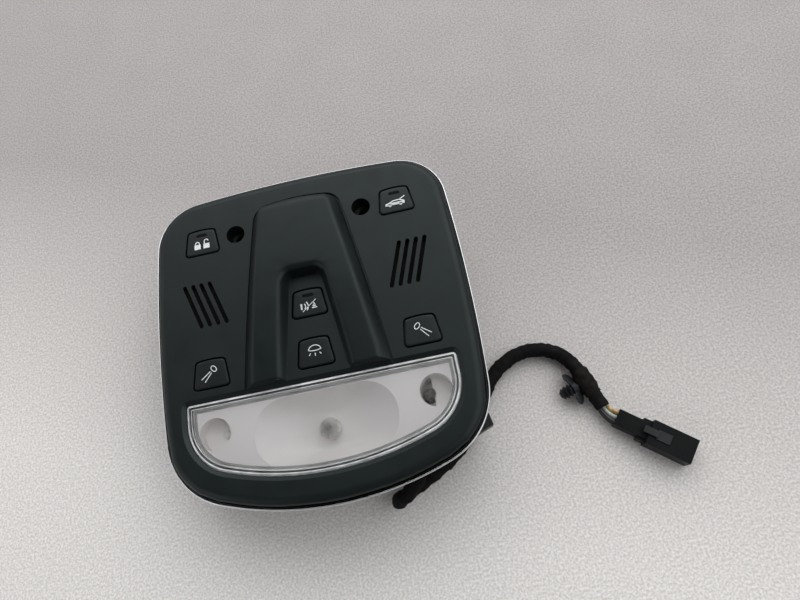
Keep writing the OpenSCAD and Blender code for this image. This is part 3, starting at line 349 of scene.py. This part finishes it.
# Looks for the rim of the lens: the bright one is painted highlight, the dark and the grey one are painted
# shade.
RIM_HIGHLIGHT = painted_rim_look("lens edge highlight", (0.4, 0.41, 0.41), (0.7, 0.71, 0.71), 0.3)
RIM_SHADE = painted_rim_look("lens rim shade", (0.16, 0.165, 0.165), (0.3, 0.305, 0.3), 0.6)
TRAY_EDGE_SHADE = painted_rim_look("tray edge shade", (0.36, 0.355, 0.35), (0.5, 0.495, 0.49), 0.5)
# The floors of the screw wells are painted light: a lighter grey than the black plastic they are made of.
WELL_PAINTED_LIGHT = grained_plastic("well floor", (0.03, 0.034, 0.034), (0.06, 0.066, 0.066), 0.5)
WRAP = woven_look("clip wrap", (0.007, 0.0058, 0.0052), 210.0)
SLOT_OF = {part["node"]: part["material_slot"] for part in frame["record"]["subparts"]}
BODY_OF = {name: obj["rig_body"] for name, obj in nodes.items()}


# Helpers for meshes, and the angles in degrees above which an edge stays sharp
SKIN_ANGLE = 31
RING_ANGLE = 60
FINE_ANGLE = 30
CLIP_ANGLE = 40
TAPE_ANGLE = 50


def paint(obj, material):
    obj.data.materials.clear()
    obj.data.materials.append(material)


def shade_round(piece, degrees):
    """Smooth shading, with the edges that turn by more than this left sharp."""
    piece.data.shade_smooth()
    piece.data.set_sharp_from_angle(angle=math.radians(degrees))


def add_mesh(name, points, faces, material, body, unit=MM):
    mesh = bpy.data.meshes.new(name)
    mesh.from_pydata([Vector(p) * unit for p in points], [], faces)
    mesh.update()
    obj = bpy.data.objects.new(name, mesh)
    scene.collection.objects.link(obj)
    paint(obj, material)
    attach(obj, body)
    return obj


def arc(x, y, r, start, end, steps=12):
    """Points on an arc between two angles in degrees."""
    return [
        (
            x + r * math.cos(math.radians(start + (end - start) * i / steps)),
            y + r * math.sin(math.radians(start + (end - start) * i / steps)),
        )
        for i in range(steps + 1)
    ]


def bearing(start, end):
    """Angle in degrees of the way from start to end."""
    return math.degrees(math.atan2(end[1] - start[1], end[0] - start[0]))


def swept(name, outline, profile, foot, material, angle=RING_ANGLE):
    """A closed profile of (inset, height) pairs carried round a closed outline."""
    loops = [[(x, y, foot + up) for x, y in outline(d)] for d, up in profile]
    n = len(loops[0])
    count = len(loops)
    faces = []
    for j in range(count):
        k = (j + 1) % count
        for i in range(n):
            e = (i + 1) % n
            faces.append((j * n + i, k * n + i, k * n + e, j * n + e))
    points = [p for loop in loops for p in loop]
    piece = add_mesh(name, points, faces, material, "console")
    shade_round(piece, angle)
    return piece


def turned(name, place, profile, foot, material):
    """A closed profile of (radius, height) pairs turned round an upright axis."""
    swept(name, lambda r: arc(*place, r, 0, 360, 32)[:-1], profile, foot, material, FINE_ANGLE)


def ring_faces(count, sides):
    """Faces between neighbouring rings of points, and one across each end."""
    faces = []
    for j in range(count - 1):
        for k in range(sides):
            a, b = j * sides + k, j * sides + (k + 1) % sides
            faces.append((a, b, b + sides, a + sides))
    faces.append(tuple(reversed(range(sides))))
    faces.append(tuple((count - 1) * sides + k for k in range(sides)))
    return faces


def ring_mesh(rings, sides):
    """Points and faces of rings (distance along x, half width in y, half height in z)."""
    points = []
    for along, wide, tall in rings:
        for k in range(sides):
            a = 2 * math.pi * k / sides
            points.append((along, wide * math.cos(a), tall * math.sin(a)))
    return points, ring_faces(len(rings), sides)


def tube_mesh(line, sides, radius):
    """Rings round a line; radius(distance along, angle) gives each point's reach."""
    points = []
    count = len(line)
    travelled = 0.0
    up = Vector((0, 0, 1))
    for i, centre in enumerate(line):
        ahead = (line[min(i + 1, count - 1)] - line[max(i - 1, 0)]).normalized()
        if i:
            travelled += (centre - line[i - 1]).length
        side = ahead.cross(up).normalized()
        up = side.cross(ahead).normalized()
        for k in range(sides):
            angle = 2 * math.pi * k / sides
            reach = radius(travelled, angle)
            points.append(centre + reach * (math.cos(angle) * side + math.sin(angle) * up))
    return points, ring_faces(count, sides), travelled


# Smooth skins: a CAD mesh with its seams joined and its round faces shaded round
SEAM = 0.000002


def finish_of(node):
    return BULB_LOOKS.get(node) or LOOKS[SLOT_OF[node]]


def smooth_skin(node):
    """A skin in place of one CAD node, reshaped where the photo asks for it."""
    work = bmesh.new()
    work.from_mesh(nodes[node].data)
    bmesh.ops.remove_doubles(work, verts=work.verts, dist=SEAM)
    work.verts.index_update()
    mesh = bpy.data.meshes.new(node + "_skin")
    points = [v.co[:] for v in work.verts]
    if node in RESHAPED:
        points = RESHAPED[node](points)
    mesh.from_pydata(points, [], [[v.index for v in face.verts] for face in work.faces])
    work.free()
    skin = bpy.data.objects.new(node + "_skin", mesh)
    scene.collection.objects.link(skin)
    shade_round(skin, SKIN_ANGLE)
    even = skin.modifiers.new("even normals", "WEIGHTED_NORMAL")
    even.keep_sharp = True
    even.weight = 100
    paint(skin, finish_of(node))
    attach(skin, BODY_OF[node])
    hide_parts(node)


SKINNED = ["face_panel", "lens", "reflector", "rear_housing", "harness_gland"]
BUTTONS = [name for name in nodes if name.startswith("button_")]
SKINNED += BUTTONS + [name for name in nodes if name.startswith("wire_")]
# Share of its width and length that a button keeps
BUTTON_SHARE = 0.972
# Where the legs of the bridge end, how far their slope reaches, and the share of it that stays
LEG_END_Y = LENS_TOP + LENS_GAP + BEVEL_W
LEG_SLOPE_Y = 4.5
LEG_SHARE = 0.3
LEG_FOOT = 0.02
# Where the bridge's rounded end begins too early, and where its first points go
CREST_LOW = 59.3
CREST_HIGH = 59.95
CREST_END = 60.01
CREST_Z = 44.5
CREST_SLOPE = 0.3
CREST_HALF = 16.4
# The lower corners: how far up the compared outlines reach, and the skin that follows them
OLD_LINE_Y = -20.0
NEW_LINE_Y = -15.0
CORNER_SKIN_Y = -30.0
LINE_STEPS = 8


def narrowed(points):
    """A button drawn in a little, so that the gap round it shows as wide as in the photo."""
    low = [min(p[k] for p in points) for k in (0, 1)]
    high = [max(p[k] for p in points) for k in (0, 1)]
    mid_x, mid_y = [(a + b) / 2 for a, b in zip(low, high)]
    return [
        (mid_x + (x - mid_x) * BUTTON_SHARE, mid_y + (y - mid_y) * BUTTON_SHARE, z)
        for x, y, z in points
    ]


def corner_moves():
    """Points of the outline, their way inwards, and how far the rounder lower corners pull them in."""
    old = [Vector(p) for p in panel_outline(0, LOW_CORNER_R)]
    new = finer_line([Vector(p) for p in panel_outline(0)])
    rows = []
    for i, p in enumerate(old):
        if p.y > OLD_LINE_Y:
            continue
        along = (old[(i + 1) % len(old)] - old[i - 1]).normalized()
        inward = Vector((along.y, -along.x))
        if inward.dot(-p) < 0:
            inward = -inward
        gap = min((q - p).length for q in new)
        rows.append((p, inward, gap))
    return rows


def finer_line(points):
    """The lower part of a closed line, with several points to each of its steps."""
    line = []
    for i, p in enumerate(points):
        q = points[(i + 1) % len(points)]
        if p.y < NEW_LINE_Y:
            line += [p.lerp(q, k / LINE_STEPS) for k in range(LINE_STEPS)]
    return line


def rounder_corners(points):
    """Pulls in the rim at the two lower corners, all of it at the edge and none of it further in."""
    rows = corner_moves()
    moved = []
    for x, y, z in points:
        spot = Vector((x, y)) / MM
        if spot.y > CORNER_SKIN_Y:
            moved.append((x, y, z))
            continue
        p, inward, gap = min(rows, key=lambda row: (row[0] - spot).length_squared)
        depth = (spot - p).dot(inward)
        share = 1 - min(max((depth - CORNER_KEEP) / CORNER_FADE, 0), 1)
        spot += inward * gap * share * share * (3 - 2 * share)
        moved.append((spot.x * MM, spot.y * MM, z))
    return moved


def steeper_legs(points):
    """The two legs of the bridge end in a short steep wall at the lens."""
    moved = []
    for x, y, z in points:
        ahead = y / MM - LEG_END_Y
        if z / MM > FACE_Z + LEG_FOOT and 0 < ahead < LEG_SLOPE_Y:
            y = (LEG_END_Y + ahead * LEG_SHARE) * MM
        moved.append((x, y, z))
    return moved


def unfolded_crest(points):
    """Points of the bridge's rounded end that lie before its last section are set just beyond it."""
    moved = []
    for x, y, z in points:
        if CREST_LOW < y / MM < CREST_HIGH and z / MM > CREST_Z:
            y = (CREST_END + CREST_SLOPE * max(0, CREST_HALF - abs(x) / MM)) * MM
        moved.append((x, y, z))
    return moved


def reshaped_panel(points):
    return rounder_corners(steeper_legs(unfolded_crest(points)))


RESHAPED = {"face_panel": reshaped_panel, "rear_housing": rounder_corners}
RESHAPED.update({name: narrowed for name in BUTTONS})


def dress_cad():
    for name, obj in nodes.items():
        paint(obj, finish_of(name))
    for name in SKINNED:
        smooth_skin(name)


# Trim ring: the same outline and profile as the solid, with more points on both
PANEL_W = 149.6
PANEL_L = 160.0
SIDE_R = 750.0
SIDE_BOW_Y = 10.0
TOP_R = 650.0
LOW_R = 150.0
TOP_CORNER_R = 23.0
LOW_CORNER_R = 20.0
# Corner radius of the photo, and the widths over which the skins follow it and fade back
LOW_CORNER_SEEN_R = 33.0
CORNER_KEEP = 3.6
CORNER_FADE = 6.0
RING_FOOT_Z = 37.5
RING_SEAT = [
    (3.2, 0.0), (3.2, 2.4), (0.3, 2.4), (-0.1, 2.42), (-0.22, 2.56), (-0.35, 2.62), (-0.48, 2.56),
    (-0.6, 2.38), (-0.7, 2.08), (-0.79, 1.98), (-0.79, 0.0),
]
RING_BEAD = [
    (-0.81, 0.0), (-0.81, 1.98), (-0.9, 2.08), (-1.0, 2.4), (-1.15, 2.6), (-1.32, 2.66),
    (-1.5, 2.58), (-1.66, 2.38), (-1.78, 2.08), (-1.8, 1.7), (-1.74, 1.1), (-1.6, 0.6), (-1.3, 0.0),
]


def blend_centre(ca, ra, cb, rb, r):
    """Centre of the arc of radius r that touches two larger arcs from inside."""
    ca, cb = Vector(ca), Vector(cb)
    qa, qb = ra - r, rb - r
    gap = cb - ca
    d = gap.length
    along = (qa * qa - qb * qb + d * d) / (2 * d)
    off = math.sqrt(qa * qa - along * along)
    u = gap / d
    side = Vector((-u.y, u.x))
    options = [ca + along * u + off * side, ca + along * u - off * side]
    return max(options, key=lambda p: p.x)


def panel_outline(d, low_r=LOW_CORNER_SEEN_R):
    """Outline of the face, inset by d, clockwise from the middle of the windscreen edge."""
    side_c = Vector((PANEL_W / 2 - SIDE_R, SIDE_BOW_Y))
    top_c = Vector((0, PANEL_L / 2 - TOP_R))
    low_c = Vector((0, LOW_R - PANEL_L / 2))
    top_corner = blend_centre(side_c, SIDE_R, top_c, TOP_R, TOP_CORNER_R)
    low_corner = blend_centre(side_c, SIDE_R, low_c, LOW_R, low_r)
    top_turn = bearing(top_c, top_corner)
    low_turn = bearing(low_c, low_corner)
    side_top = bearing(side_c, top_corner)
    side_low = bearing(side_c, low_corner)
    half = arc(*top_c, TOP_R - d, 90, top_turn, 6)[:-1]
    half += arc(*top_corner, TOP_CORNER_R - d, top_turn, side_top, 26)[:-1]
    half += arc(*side_c, SIDE_R - d, side_top, side_low, 24)[:-1]
    half += arc(*low_corner, low_r - d, side_low, low_turn, 22)[:-1]
    half += arc(*low_c, LOW_R - d, low_turn, -90, 22)
    return half + [(-x, y) for x, y in reversed(half[1:-1])]


def add_ring():
    """The two beads of the trim ring, side by side."""
    bead = swept("ring_bead", panel_outline, RING_BEAD, RING_FOOT_Z, LOOKS["chrome"])
    seat = swept("ring_seat", panel_outline, RING_SEAT, RING_FOOT_Z, RING_DARK)
    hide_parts("trim_ring")
    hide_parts("trim_ring")


# Painted highlights and shade at the rim of the lens, painted-light floors of the screw wells and rings in
# the tray
LENS_HALF = 62.8
LENS_LOW = -67.0
LENS_CORNER_R = 24.0
LENS_BOW_R = 142.0
LENS_TIP_R = 1.5
# Screw wells: place, radius of the well, radius of the bore and height of the floor
WELL_X = 32.3
WELL_Y = 54.9
WELL_R = 4.6
WELL_BORE_R = 2.6
WELL_FLOOR_Z = FACE_Z - 8
# Rings in the tray: name, place, inner and outer radius, height
COLLARS = [
    # The white disc over the left cup's floor is painted light: it covers the shaded bulb hole there, which
    # the right cup keeps.
    ("left_cup_cover_painted_light", (-51.0, -41.7), 0.05, 7.35, 33.8),
    ("bulb_collar_dome", (0.0, -48.0), 4.9, 7.2, 29.6),
]
# Painted highlight lines on the face of the lens and painted shade bands below it: profiles of (inset,
# height)
EDGE_HIGHLIGHT = [(-0.02, -0.5), (-0.02, -0.47), (0.43, 0.03), (0.95, 0.03), (0.95, 0.005), (0.45, 0.005)]
WALL_HIGHLIGHT = [(2.0, 0.005), (2.0, 0.03), (2.35, 0.03), (2.35, 0.005)]
RIM_SHADE_BAND = [(0.5, 0.0), (0.5, 0.1), (1.9, 0.1), (1.9, 0.0)]
TRAY_SHADE_BAND = [(2.6, 0.02), (2.6, 0.06), (3.9, 0.06), (3.9, 0.02)]
# Pieces of the rim: name, profile, height of its foot, look and slot
RIM_PIECES = [
    ("lens_edge_highlight", EDGE_HIGHLIGHT, 43.2, RIM_HIGHLIGHT, "clear"),
    ("lens_wall_highlight", WALL_HIGHLIGHT, 43.2, RIM_HIGHLIGHT, "clear"),
    ("lens_rim_shade", RIM_SHADE_BAND, 40.24, RIM_SHADE, "lamp_white"),
    ("tray_edge_shade", TRAY_SHADE_BAND, 40.6, TRAY_EDGE_SHADE, "lamp_white"),
]


def lens_outline(d):
    """Outline of the lens, inset by d."""
    bow_c = Vector((0, LENS_LOW + LENS_BOW_R))
    corner_x = LENS_HALF - LENS_CORNER_R
    drop = math.sqrt((LENS_BOW_R - LENS_CORNER_R) ** 2 - corner_x ** 2)
    corner = Vector((corner_x, bow_c.y - drop))
    turn = bearing(bow_c, corner)
    tip = max(LENS_TIP_R - d, 0.4)
    half = arc(LENS_HALF - d - tip, LENS_TOP - d - tip, tip, 90, 0, 5)
    half += arc(*corner, LENS_CORNER_R - d, 0, turn, 24)[:-1]
    half += arc(*bow_c, LENS_BOW_R - d, turn, -90, 24)
    return half + [(-x, y) for x, y in reversed(half[:-1])]


def add_round_pieces():
    """Floors of the screw wells, lightened as painted light, a white disc that covers the left cup's shaded
    bulb hole as painted light, and the collar of the dome bulb.
    """
    bore, well = WELL_BORE_R, WELL_R
    profile = [(well, 0.02), (well, 0.1), (bore + 0.3, 0.25), (bore, 0.1), (bore, 0.02)]
    turned("well_floor_left", (-WELL_X, WELL_Y), profile, WELL_FLOOR_Z, WELL_PAINTED_LIGHT)
    turned("well_floor_right", (WELL_X, WELL_Y), profile, WELL_FLOOR_Z, WELL_PAINTED_LIGHT)
    for name, place, inner, outer, foot in COLLARS:
        profile = [(outer, 0.02), (outer, 0.08), (inner + 0.2, 0.2), (inner, 0.08), (inner, 0.02)]
        turned(name, place, profile, foot, LOOKS["lamp_white"])


def add_lens_rim():
    """Painted highlights as fine bright lines at the lens's edges, and painted shade as grey bands under
    its rim and at the tray's edge.
    """
    for name, profile, foot, material, slot in RIM_PIECES:
        swept(name, lens_outline, profile, foot, material, FINE_ANGLE)


# Signs on the buttons, as raised print
SIGN_LINE = 0.34
SIGN_LIFT = 0.02
SIGN_THICK = 0.03


def ribbon(line, width, z_low, z_high, closed=False):
    """Points and faces of a flat line of print with square corners and a real thickness."""
    count = len(line)
    flat = [Vector(p) for p in line]
    left, right = [], []
    for i in range(count):
        before = flat[i] - flat[i - 1] if (i > 0 or closed) else flat[1] - flat[0]
        after = flat[(i + 1) % count] - flat[i] if (i < count - 1 or closed) else flat[-1] - flat[-2]
        a = before.normalized()
        b = after.normalized()
        way = (a + b).normalized()
        normal = Vector((-way.y, way.x))
        spread = width / 2 / max(0.5, (1 + a.dot(b)) / 2) ** 0.5
        left.append(flat[i] + normal * spread)
        right.append(flat[i] - normal * spread)
    points = [(p.x, p.y, z) for z in (z_low, z_high) for row in (left, right) for p in row]
    low_l, low_r, high_l, high_r = 0, count, 2 * count, 3 * count
    faces = []
    for i in range(count if closed else count - 1):
        j = (i + 1) % count
        faces += [
            (high_l + i, high_r + i, high_r + j, high_l + j),
            (low_l + i, low_l + j, low_r + j, low_r + i),
            (high_l + i, high_l + j, low_l + j, low_l + i),
            (high_r + i, low_r + i, low_r + j, high_r + j),
        ]
    if not closed:
        last = count - 1
        faces += [
            (high_l, low_l, low_r, high_r),
            (high_l + last, high_r + last, low_r + last, low_l + last),
        ]
    return points, faces


def add_sign(name, body, centre, lines, width=SIGN_LINE):
    """lines are (points, closed) in millimetres round the middle of the sign."""
    points, faces = [], []
    z = BUTTON_TOP_Z + SIGN_LIFT
    for line, closed in lines:
        moved = [tuple(Vector(centre) + Vector(p)) for p in line]
        more, more_faces = ribbon(moved, width, z, z + SIGN_THICK, closed)
        start = len(points)
        points += more
        faces += [tuple(start + k for k in face) for face in more_faces]
    add_mesh(name, points, faces, LEGEND, body)


def padlock(x, lifted):
    """A filled lock at x, shut or with its shackle lifted."""
    body = [([(x - 1.6, y), (x + 1.6, y)], False) for y in (-1.9, -1.45, -1.0, -0.55, -0.1, 0.3)]
    rise = 1.3 if lifted else 0.5
    shackle = [(x - 1.0, 0.5)] + arc(x, 0.5 + rise, 1.0, 180, 0, 8)
    if not lifted:
        shackle.append((x + 1.0, 0.5))
    return body + [(shackle, False)]


def ellipse(x, y, half_long, half_short, turn, steps=20):
    """Points of an oval turned by an angle in degrees."""
    spin = Matrix.Rotation(math.radians(turn), 2)
    angles = [2 * math.pi * i / steps for i in range(steps)]
    ring = [Vector((half_long * math.cos(a), half_short * math.sin(a))) for a in angles]
    return [tuple(Vector((x, y)) + spin @ p) for p in ring]


def lamp_sign(side):
    """A tilted lamp head with two long rays from its open side."""
    head = ellipse(1.55 * side, 2.2, 1.6, 1.05, -51 * side)
    return [
        (head, True),
        ([(-0.15 * side, 1.15), (-4.5 * side, -2.1)], False),
        ([(0.4 * side, 0.45), (-2.9 * side, -3.55)], False),
    ]


def car_sign():
    """A car seen from the side with its tailgate up."""
    hull = [
        (-5.0, -1.1), (-4.9, -0.4), (-3.0, 0.1), (-1.3, 1.0),
        (1.9, 1.15), (3.3, 0.5), (4.2, 0.1), (4.2, -1.1),
    ]
    gate = [(2.4, 1.35), (4.9, 2.7)]
    sill = [(-4.8, -0.75), (4.0, -0.75)]
    belt = [(-3.0, -0.2), (4.0, -0.2)]
    wheels = [(arc(x, -1.2, 0.55, 0, 330, 10), True) for x in (-3.0, 2.4)]
    return [(hull, True), (gate, False), (sill, False), (belt, False)] + wheels


def parking_sign():
    """A bumper, two waves from it and a striped cone."""
    waves = [(arc(-3.6, 0, r, -40, 40, 8), False) for r in (2.0, 3.3)]
    bumper = [([(x, -1.5), (x, 1.5)], False) for x in (-3.7, -3.35)]
    stripes = ((-1.4, 1.3), (-0.6, 0.85), (0.2, 0.55), (1.0, 0.3))
    cone = [([(2.6 - half, y), (2.6 + half, y)], False) for y, half in stripes]
    return waves + bumper + cone


def dome_sign():
    """A lamp shade with three short rays below it."""
    shade = ellipse(0, 0.6, 2.9, 2.2, 0, 28)[:15] + [(-1.5, 0.25), (0, 0.15), (1.5, 0.25)]
    rays = [[(-2.1, -0.9), (-2.9, -1.9)], [(0, -1.0), (0, -2.4)], [(2.1, -0.9), (2.9, -1.9)]]
    return [(shade, True)] + [(ray, False) for ray in rays]


# The stroke that crosses the parking sign out
SLASH = [([(-3.2, -2.6), (3.6, 2.6)], False)]


def add_signs():
    locks = padlock(-2.3, False) + padlock(2.3, True)
    add_sign("sign_lock", "lock_button", (-49.8, 53.0), locks, 0.46)
    add_sign("sign_tailgate", "tailgate_button", (49.8, 53.0), car_sign(), 0.5)
    add_sign("sign_parking", "parking_button", (0.0, 8.9), parking_sign(), 0.45)
    add_sign("sign_parking_off", "parking_button", (0.0, 8.9), SLASH, 0.3)
    add_sign("sign_dome", "dome_button", (0.0, -13.6), dome_sign())
    add_sign("sign_reading_left", "reading_left_button", (-49.8, -14.2), lamp_sign(1))
    add_sign("sign_reading_right", "reading_right_button", (49.8, -14.2), lamp_sign(-1))


# Harness: the taped length from the gland to the bare wires of the plug
HARNESS_ROUTE = [
    (0.037, -0.06265, 0.021), (0.037, -0.0665, 0.021), (0.0367, -0.07, 0.0211), (0.034, -0.076, 0.021),
    (0.0285, -0.0814, 0.0186), (0.0232, -0.0836, 0.0122), (0.0246, -0.082, 0.0062),
    (0.0315, -0.0786, 0.0037), (0.041, -0.074, 0.0037), (0.052, -0.0675, 0.0037),
    (0.062, -0.0585, 0.0037), (0.0695, -0.047, 0.0037), (0.078, -0.0345, 0.0037),
    (0.0866, -0.0278, 0.0037), (0.096, -0.0244, 0.0037), (0.106, -0.025, 0.0038),
    (0.1143, -0.0294, 0.0042), (0.1198, -0.0373, 0.0048), (0.123, -0.0466, 0.0049),
    (0.1272, -0.059, 0.0048),
]
# In metres: diameter, length of a turn of tape, its step, its lumps, and how far it is drawn in
HARNESS_D = 0.0072
TAPE_PITCH = 0.0085
TAPE_STEP = 0.0004
TAPE_LUMP = 0.00019
TAPE_SINK = 0.0001
FLOOR_GAP = 0.00006


def spline(route, steps):
    """Catmull-Rom line through the route."""
    points = [Vector(p) for p in route]
    last = len(points) - 1
    line = []
    for i in range(last):
        a, b = points[max(i - 1, 0)], points[i]
        c, d = points[i + 1], points[min(i + 2, last)]
        for k in range(steps):
            t = k / steps
            line.append(
                0.5 * (2 * b + (c - a) * t + (2 * a - 5 * b + 4 * c - d) * t * t
                       + (3 * b - a - 3 * c + d) * t ** 3)
            )
    line.append(points[last])
    return line


def tape_radius(along, angle):
    """Overlapping turns of cloth tape: each turn rises over the edge of the one before."""
    turn = (along / TAPE_PITCH + angle / (2 * math.pi)) % 1.0
    lap = TAPE_STEP * (0.5 - turn)
    lump = math.sin(760 * along + angle) + 0.6 * math.sin(1900 * along - 2 * angle)
    return HARNESS_D / 2 + lap + TAPE_LUMP * lump - TAPE_SINK


# Clip: place in metres and turn; stem and hub as (distance from the harness, radius)
CLIP_PLACE = Vector((0.1226, -0.0454, 0.0048))
CLIP_TURN = math.radians(197.5)
CLIP_STEM = [
    (3.2, 1.6), (8.5, 1.6), (8.7, 3.4), (10.3, 2.0), (10.4, 1.5), (10.8, 3.3), (12.2, 1.9),
    (12.3, 1.4), (12.6, 2.9), (14.0, 1.3),
]
CLIP_HUB = [(4.9, 2.4), (5.2, 2.9), (7.4, 2.9), (7.8, 2.3)]
# Wings: middle, half length and half width, angles, and rings as (share of the size, lift)
WING_X = 6.4
WING_Y = 4.9
WING_LONG = 3.8
WING_WIDE = 2.9
WING_LEAN = math.radians(48)
WING_FOLD = math.radians(22)
WING_RINGS = [
    (0.0, 0.55), (0.55, 0.55), (0.88, 0.42), (1.0, 0.0), (0.88, -0.42), (0.55, -0.55), (0.0, -0.55),
]
WING_LEAST = 0.1
# Tape round the clip: half its length in metres, radius at its ends, and how far it rises
WRAP_HALF = 0.0075
WRAP_R = 3.75
WRAP_RISE = 0.75


def wing_mesh(side):
    """One oval wing of the clip, folded back towards the tip and leaning."""
    rings = [
        (lift, max(WING_LONG * k, WING_LEAST), max(WING_WIDE * k, WING_LEAST)) for k, lift in WING_RINGS
    ]
    points, faces = ring_mesh(rings, 24)
    lean = Matrix.Rotation(WING_LEAN, 3, "Y")
    fold = Matrix.Rotation(-WING_FOLD * side, 3, "Z")
    spot = Vector((WING_X, WING_Y * side, 0))
    return [tuple(spot + fold @ lean @ Vector(p)) for p in points], faces


def add_clip(line):
    """Fir tree clip with two wings, bound to the harness by a turn of tape."""
    spin = Matrix.Rotation(CLIP_TURN, 3, "Z")
    pieces = []
    shapes = {
        "clip_stem": ring_mesh([(x, r, r) for x, r in CLIP_STEM], 16),
        "clip_hub": ring_mesh([(x, r, r) for x, r in CLIP_HUB], 20),
        "clip_wing_a": wing_mesh(1),
        "clip_wing_b": wing_mesh(-1),
    }
    for name, (points, faces) in shapes.items():
        placed = [CLIP_PLACE + spin @ (Vector(p) * MM) for p in points]
        piece = add_mesh(name, placed, faces, LOOKS["clip_grey"], "console", 1.0)
        shade_round(piece, CLIP_ANGLE)
        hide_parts("harness_clip")
        pieces.append(piece)
    middle = min(range(len(line)), key=lambda i: (line[i] - CLIP_PLACE).length)
    part = [p for p in line if (p - line[middle]).length < WRAP_HALF]
    whole = sum((b - a).length for a, b in zip(part, part[1:]))

    def reach(along, angle):
        rise = min(1.0, 4 * along / whole, 4 * (whole - along) / whole)
        lump = 0.22 * math.sin(1500 * along + 2 * angle) + 0.16 * math.sin(3 * angle - 900 * along)
        return (WRAP_R + WRAP_RISE * rise + lump) * MM

    points, faces, _ = tube_mesh(part, 24, reach)
    wrap = add_mesh("clip_wrap", points, faces, WRAP, "console", 1.0)
    shade_round(wrap, TAPE_ANGLE)
    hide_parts("harness_clip")
    return pieces + [wrap]


def add_harness():
    """The taped cord, kept just above the floor."""
    line = spline(HARNESS_ROUTE, 10)
    points, faces, length = tube_mesh(line, 24, tape_radius)
    points = [(p.x, p.y, max(p.z, FLOOR_GAP)) for p in points]
    harness = add_mesh("harness_tape", points, faces, LOOKS["tape"], "console", 1.0)
    shade_round(harness, TAPE_ANGLE)
    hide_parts("harness")
    return harness, line, length


def declare_harness(harness, line, length):
    """Adds the clip to the cord and gathers the wires, the plug and the clip that it carries into a list.
    """
    skins = ["wire_yellow", "wire_white", "wire_black"]
    on_cord = [bpy.data.objects[name + "_skin"] for name in skins]
    on_cord += [nodes["plug_body"], nodes["plug_latch"]] + add_clip(line)


# Floor and light, in metres
FLOOR_REACH = 2.5
WINDOW_PLACE = (0.5, 1.35, 1.2)
WINDOW_SIZE = (2.4, 1.2)
WINDOW_POWER = 10.0


def add_floor():
    mesh = bpy.data.meshes.new("floor")
    corners = [(-1, -1, 0), (1, -1, 0), (1, 1, 0), (-1, 1, 0)]
    mesh.from_pydata([Vector(p) * FLOOR_REACH for p in corners], [], [(0, 1, 2, 3)])
    floor = bpy.data.objects.new("floor", mesh)
    scene.collection.objects.link(floor)
    paint(floor, floor_look())


def add_window():
    """One wide soft lamp behind the part, turned towards it."""
    data = bpy.data.lights.new("window", "AREA")
    data.shape = "RECTANGLE"
    data.size, data.size_y = WINDOW_SIZE
    data.energy = WINDOW_POWER
    data.color = (1.0, 0.99, 0.98)
    lamp = bpy.data.objects.new("window", data)
    scene.collection.objects.link(lamp)
    lamp.location = WINDOW_PLACE
    lamp.rotation_euler = (-Vector(WINDOW_PLACE)).to_track_quat("-Z", "Y").to_euler()


# Patches of the room: direction, cosines of their inner and outer edge, level inside and outside
ROOM_PATCHES = [
    ((0.0, 0.0, 1.0), 0.5, 0.1, 1.76, 0.3),
    ((-0.15, -0.25, 0.95), 0.88, 0.80, 0.05, 1.0),
    ((-0.55, 0.05, 0.83), 0.95, 0.85, 0.12, 1.0),
    ((0.05, -0.97, 0.25), 0.9, 0.62, 0.08, 1.0),
]
# Level of the plain backdrop that the camera sees
BACKDROP_LEVEL = 0.62


def add_room():
    """Light from all round, weaker in the directions of the patches."""
    world = bpy.data.worlds.new("studio")
    scene.world = world
    world.use_nodes = True
    tree = world.node_tree
    background = tree.nodes["Background"]
    place = tree.nodes.new("ShaderNodeTexCoord").outputs["Generated"]
    level = None
    for towards, near, far, inside, outside in ROOM_PATCHES:
        dot = tree.nodes.new("ShaderNodeVectorMath")
        dot.operation = "DOT_PRODUCT"
        dot.inputs[1].default_value = Vector(towards).normalized()
        tree.links.new(place, dot.inputs[0])
        fade = tree.nodes.new("ShaderNodeMapRange")
        fade.interpolation_type = "SMOOTHSTEP"
        fade.inputs["From Min"].default_value = far
        fade.inputs["From Max"].default_value = near
        fade.inputs["To Min"].default_value = outside
        fade.inputs["To Max"].default_value = inside
        tree.links.new(dot.outputs["Value"], fade.inputs["Value"])
        share = fade.outputs["Result"]
        if level is not None:
            product = tree.nodes.new("ShaderNodeMath")
            product.operation = "MULTIPLY"
            tree.links.new(level, product.inputs[0])
            tree.links.new(share, product.inputs[1])
            share = product.outputs["Value"]
        level = share
    path = tree.nodes.new("ShaderNodeLightPath")
    seen = tree.nodes.new("ShaderNodeMix")
    seen.inputs["B"].default_value = BACKDROP_LEVEL
    tree.links.new(path.outputs["Is Camera Ray"], seen.inputs["Factor"])
    tree.links.new(level, seen.inputs["A"])
    tree.links.new(seen.outputs["Result"], background.inputs["Strength"])
    background.inputs["Color"].default_value = (0.96, 0.98, 1.0, 1.0)


# The scene, with the camera and the cord first
add_camera()
harness_parts = add_harness()
dress_cad()
declare_harness(*harness_parts)
add_ring()
add_lens_rim()
add_round_pieces()
add_signs()
add_floor()
add_room()
add_window()
scene.view_settings.view_transform = "Standard"
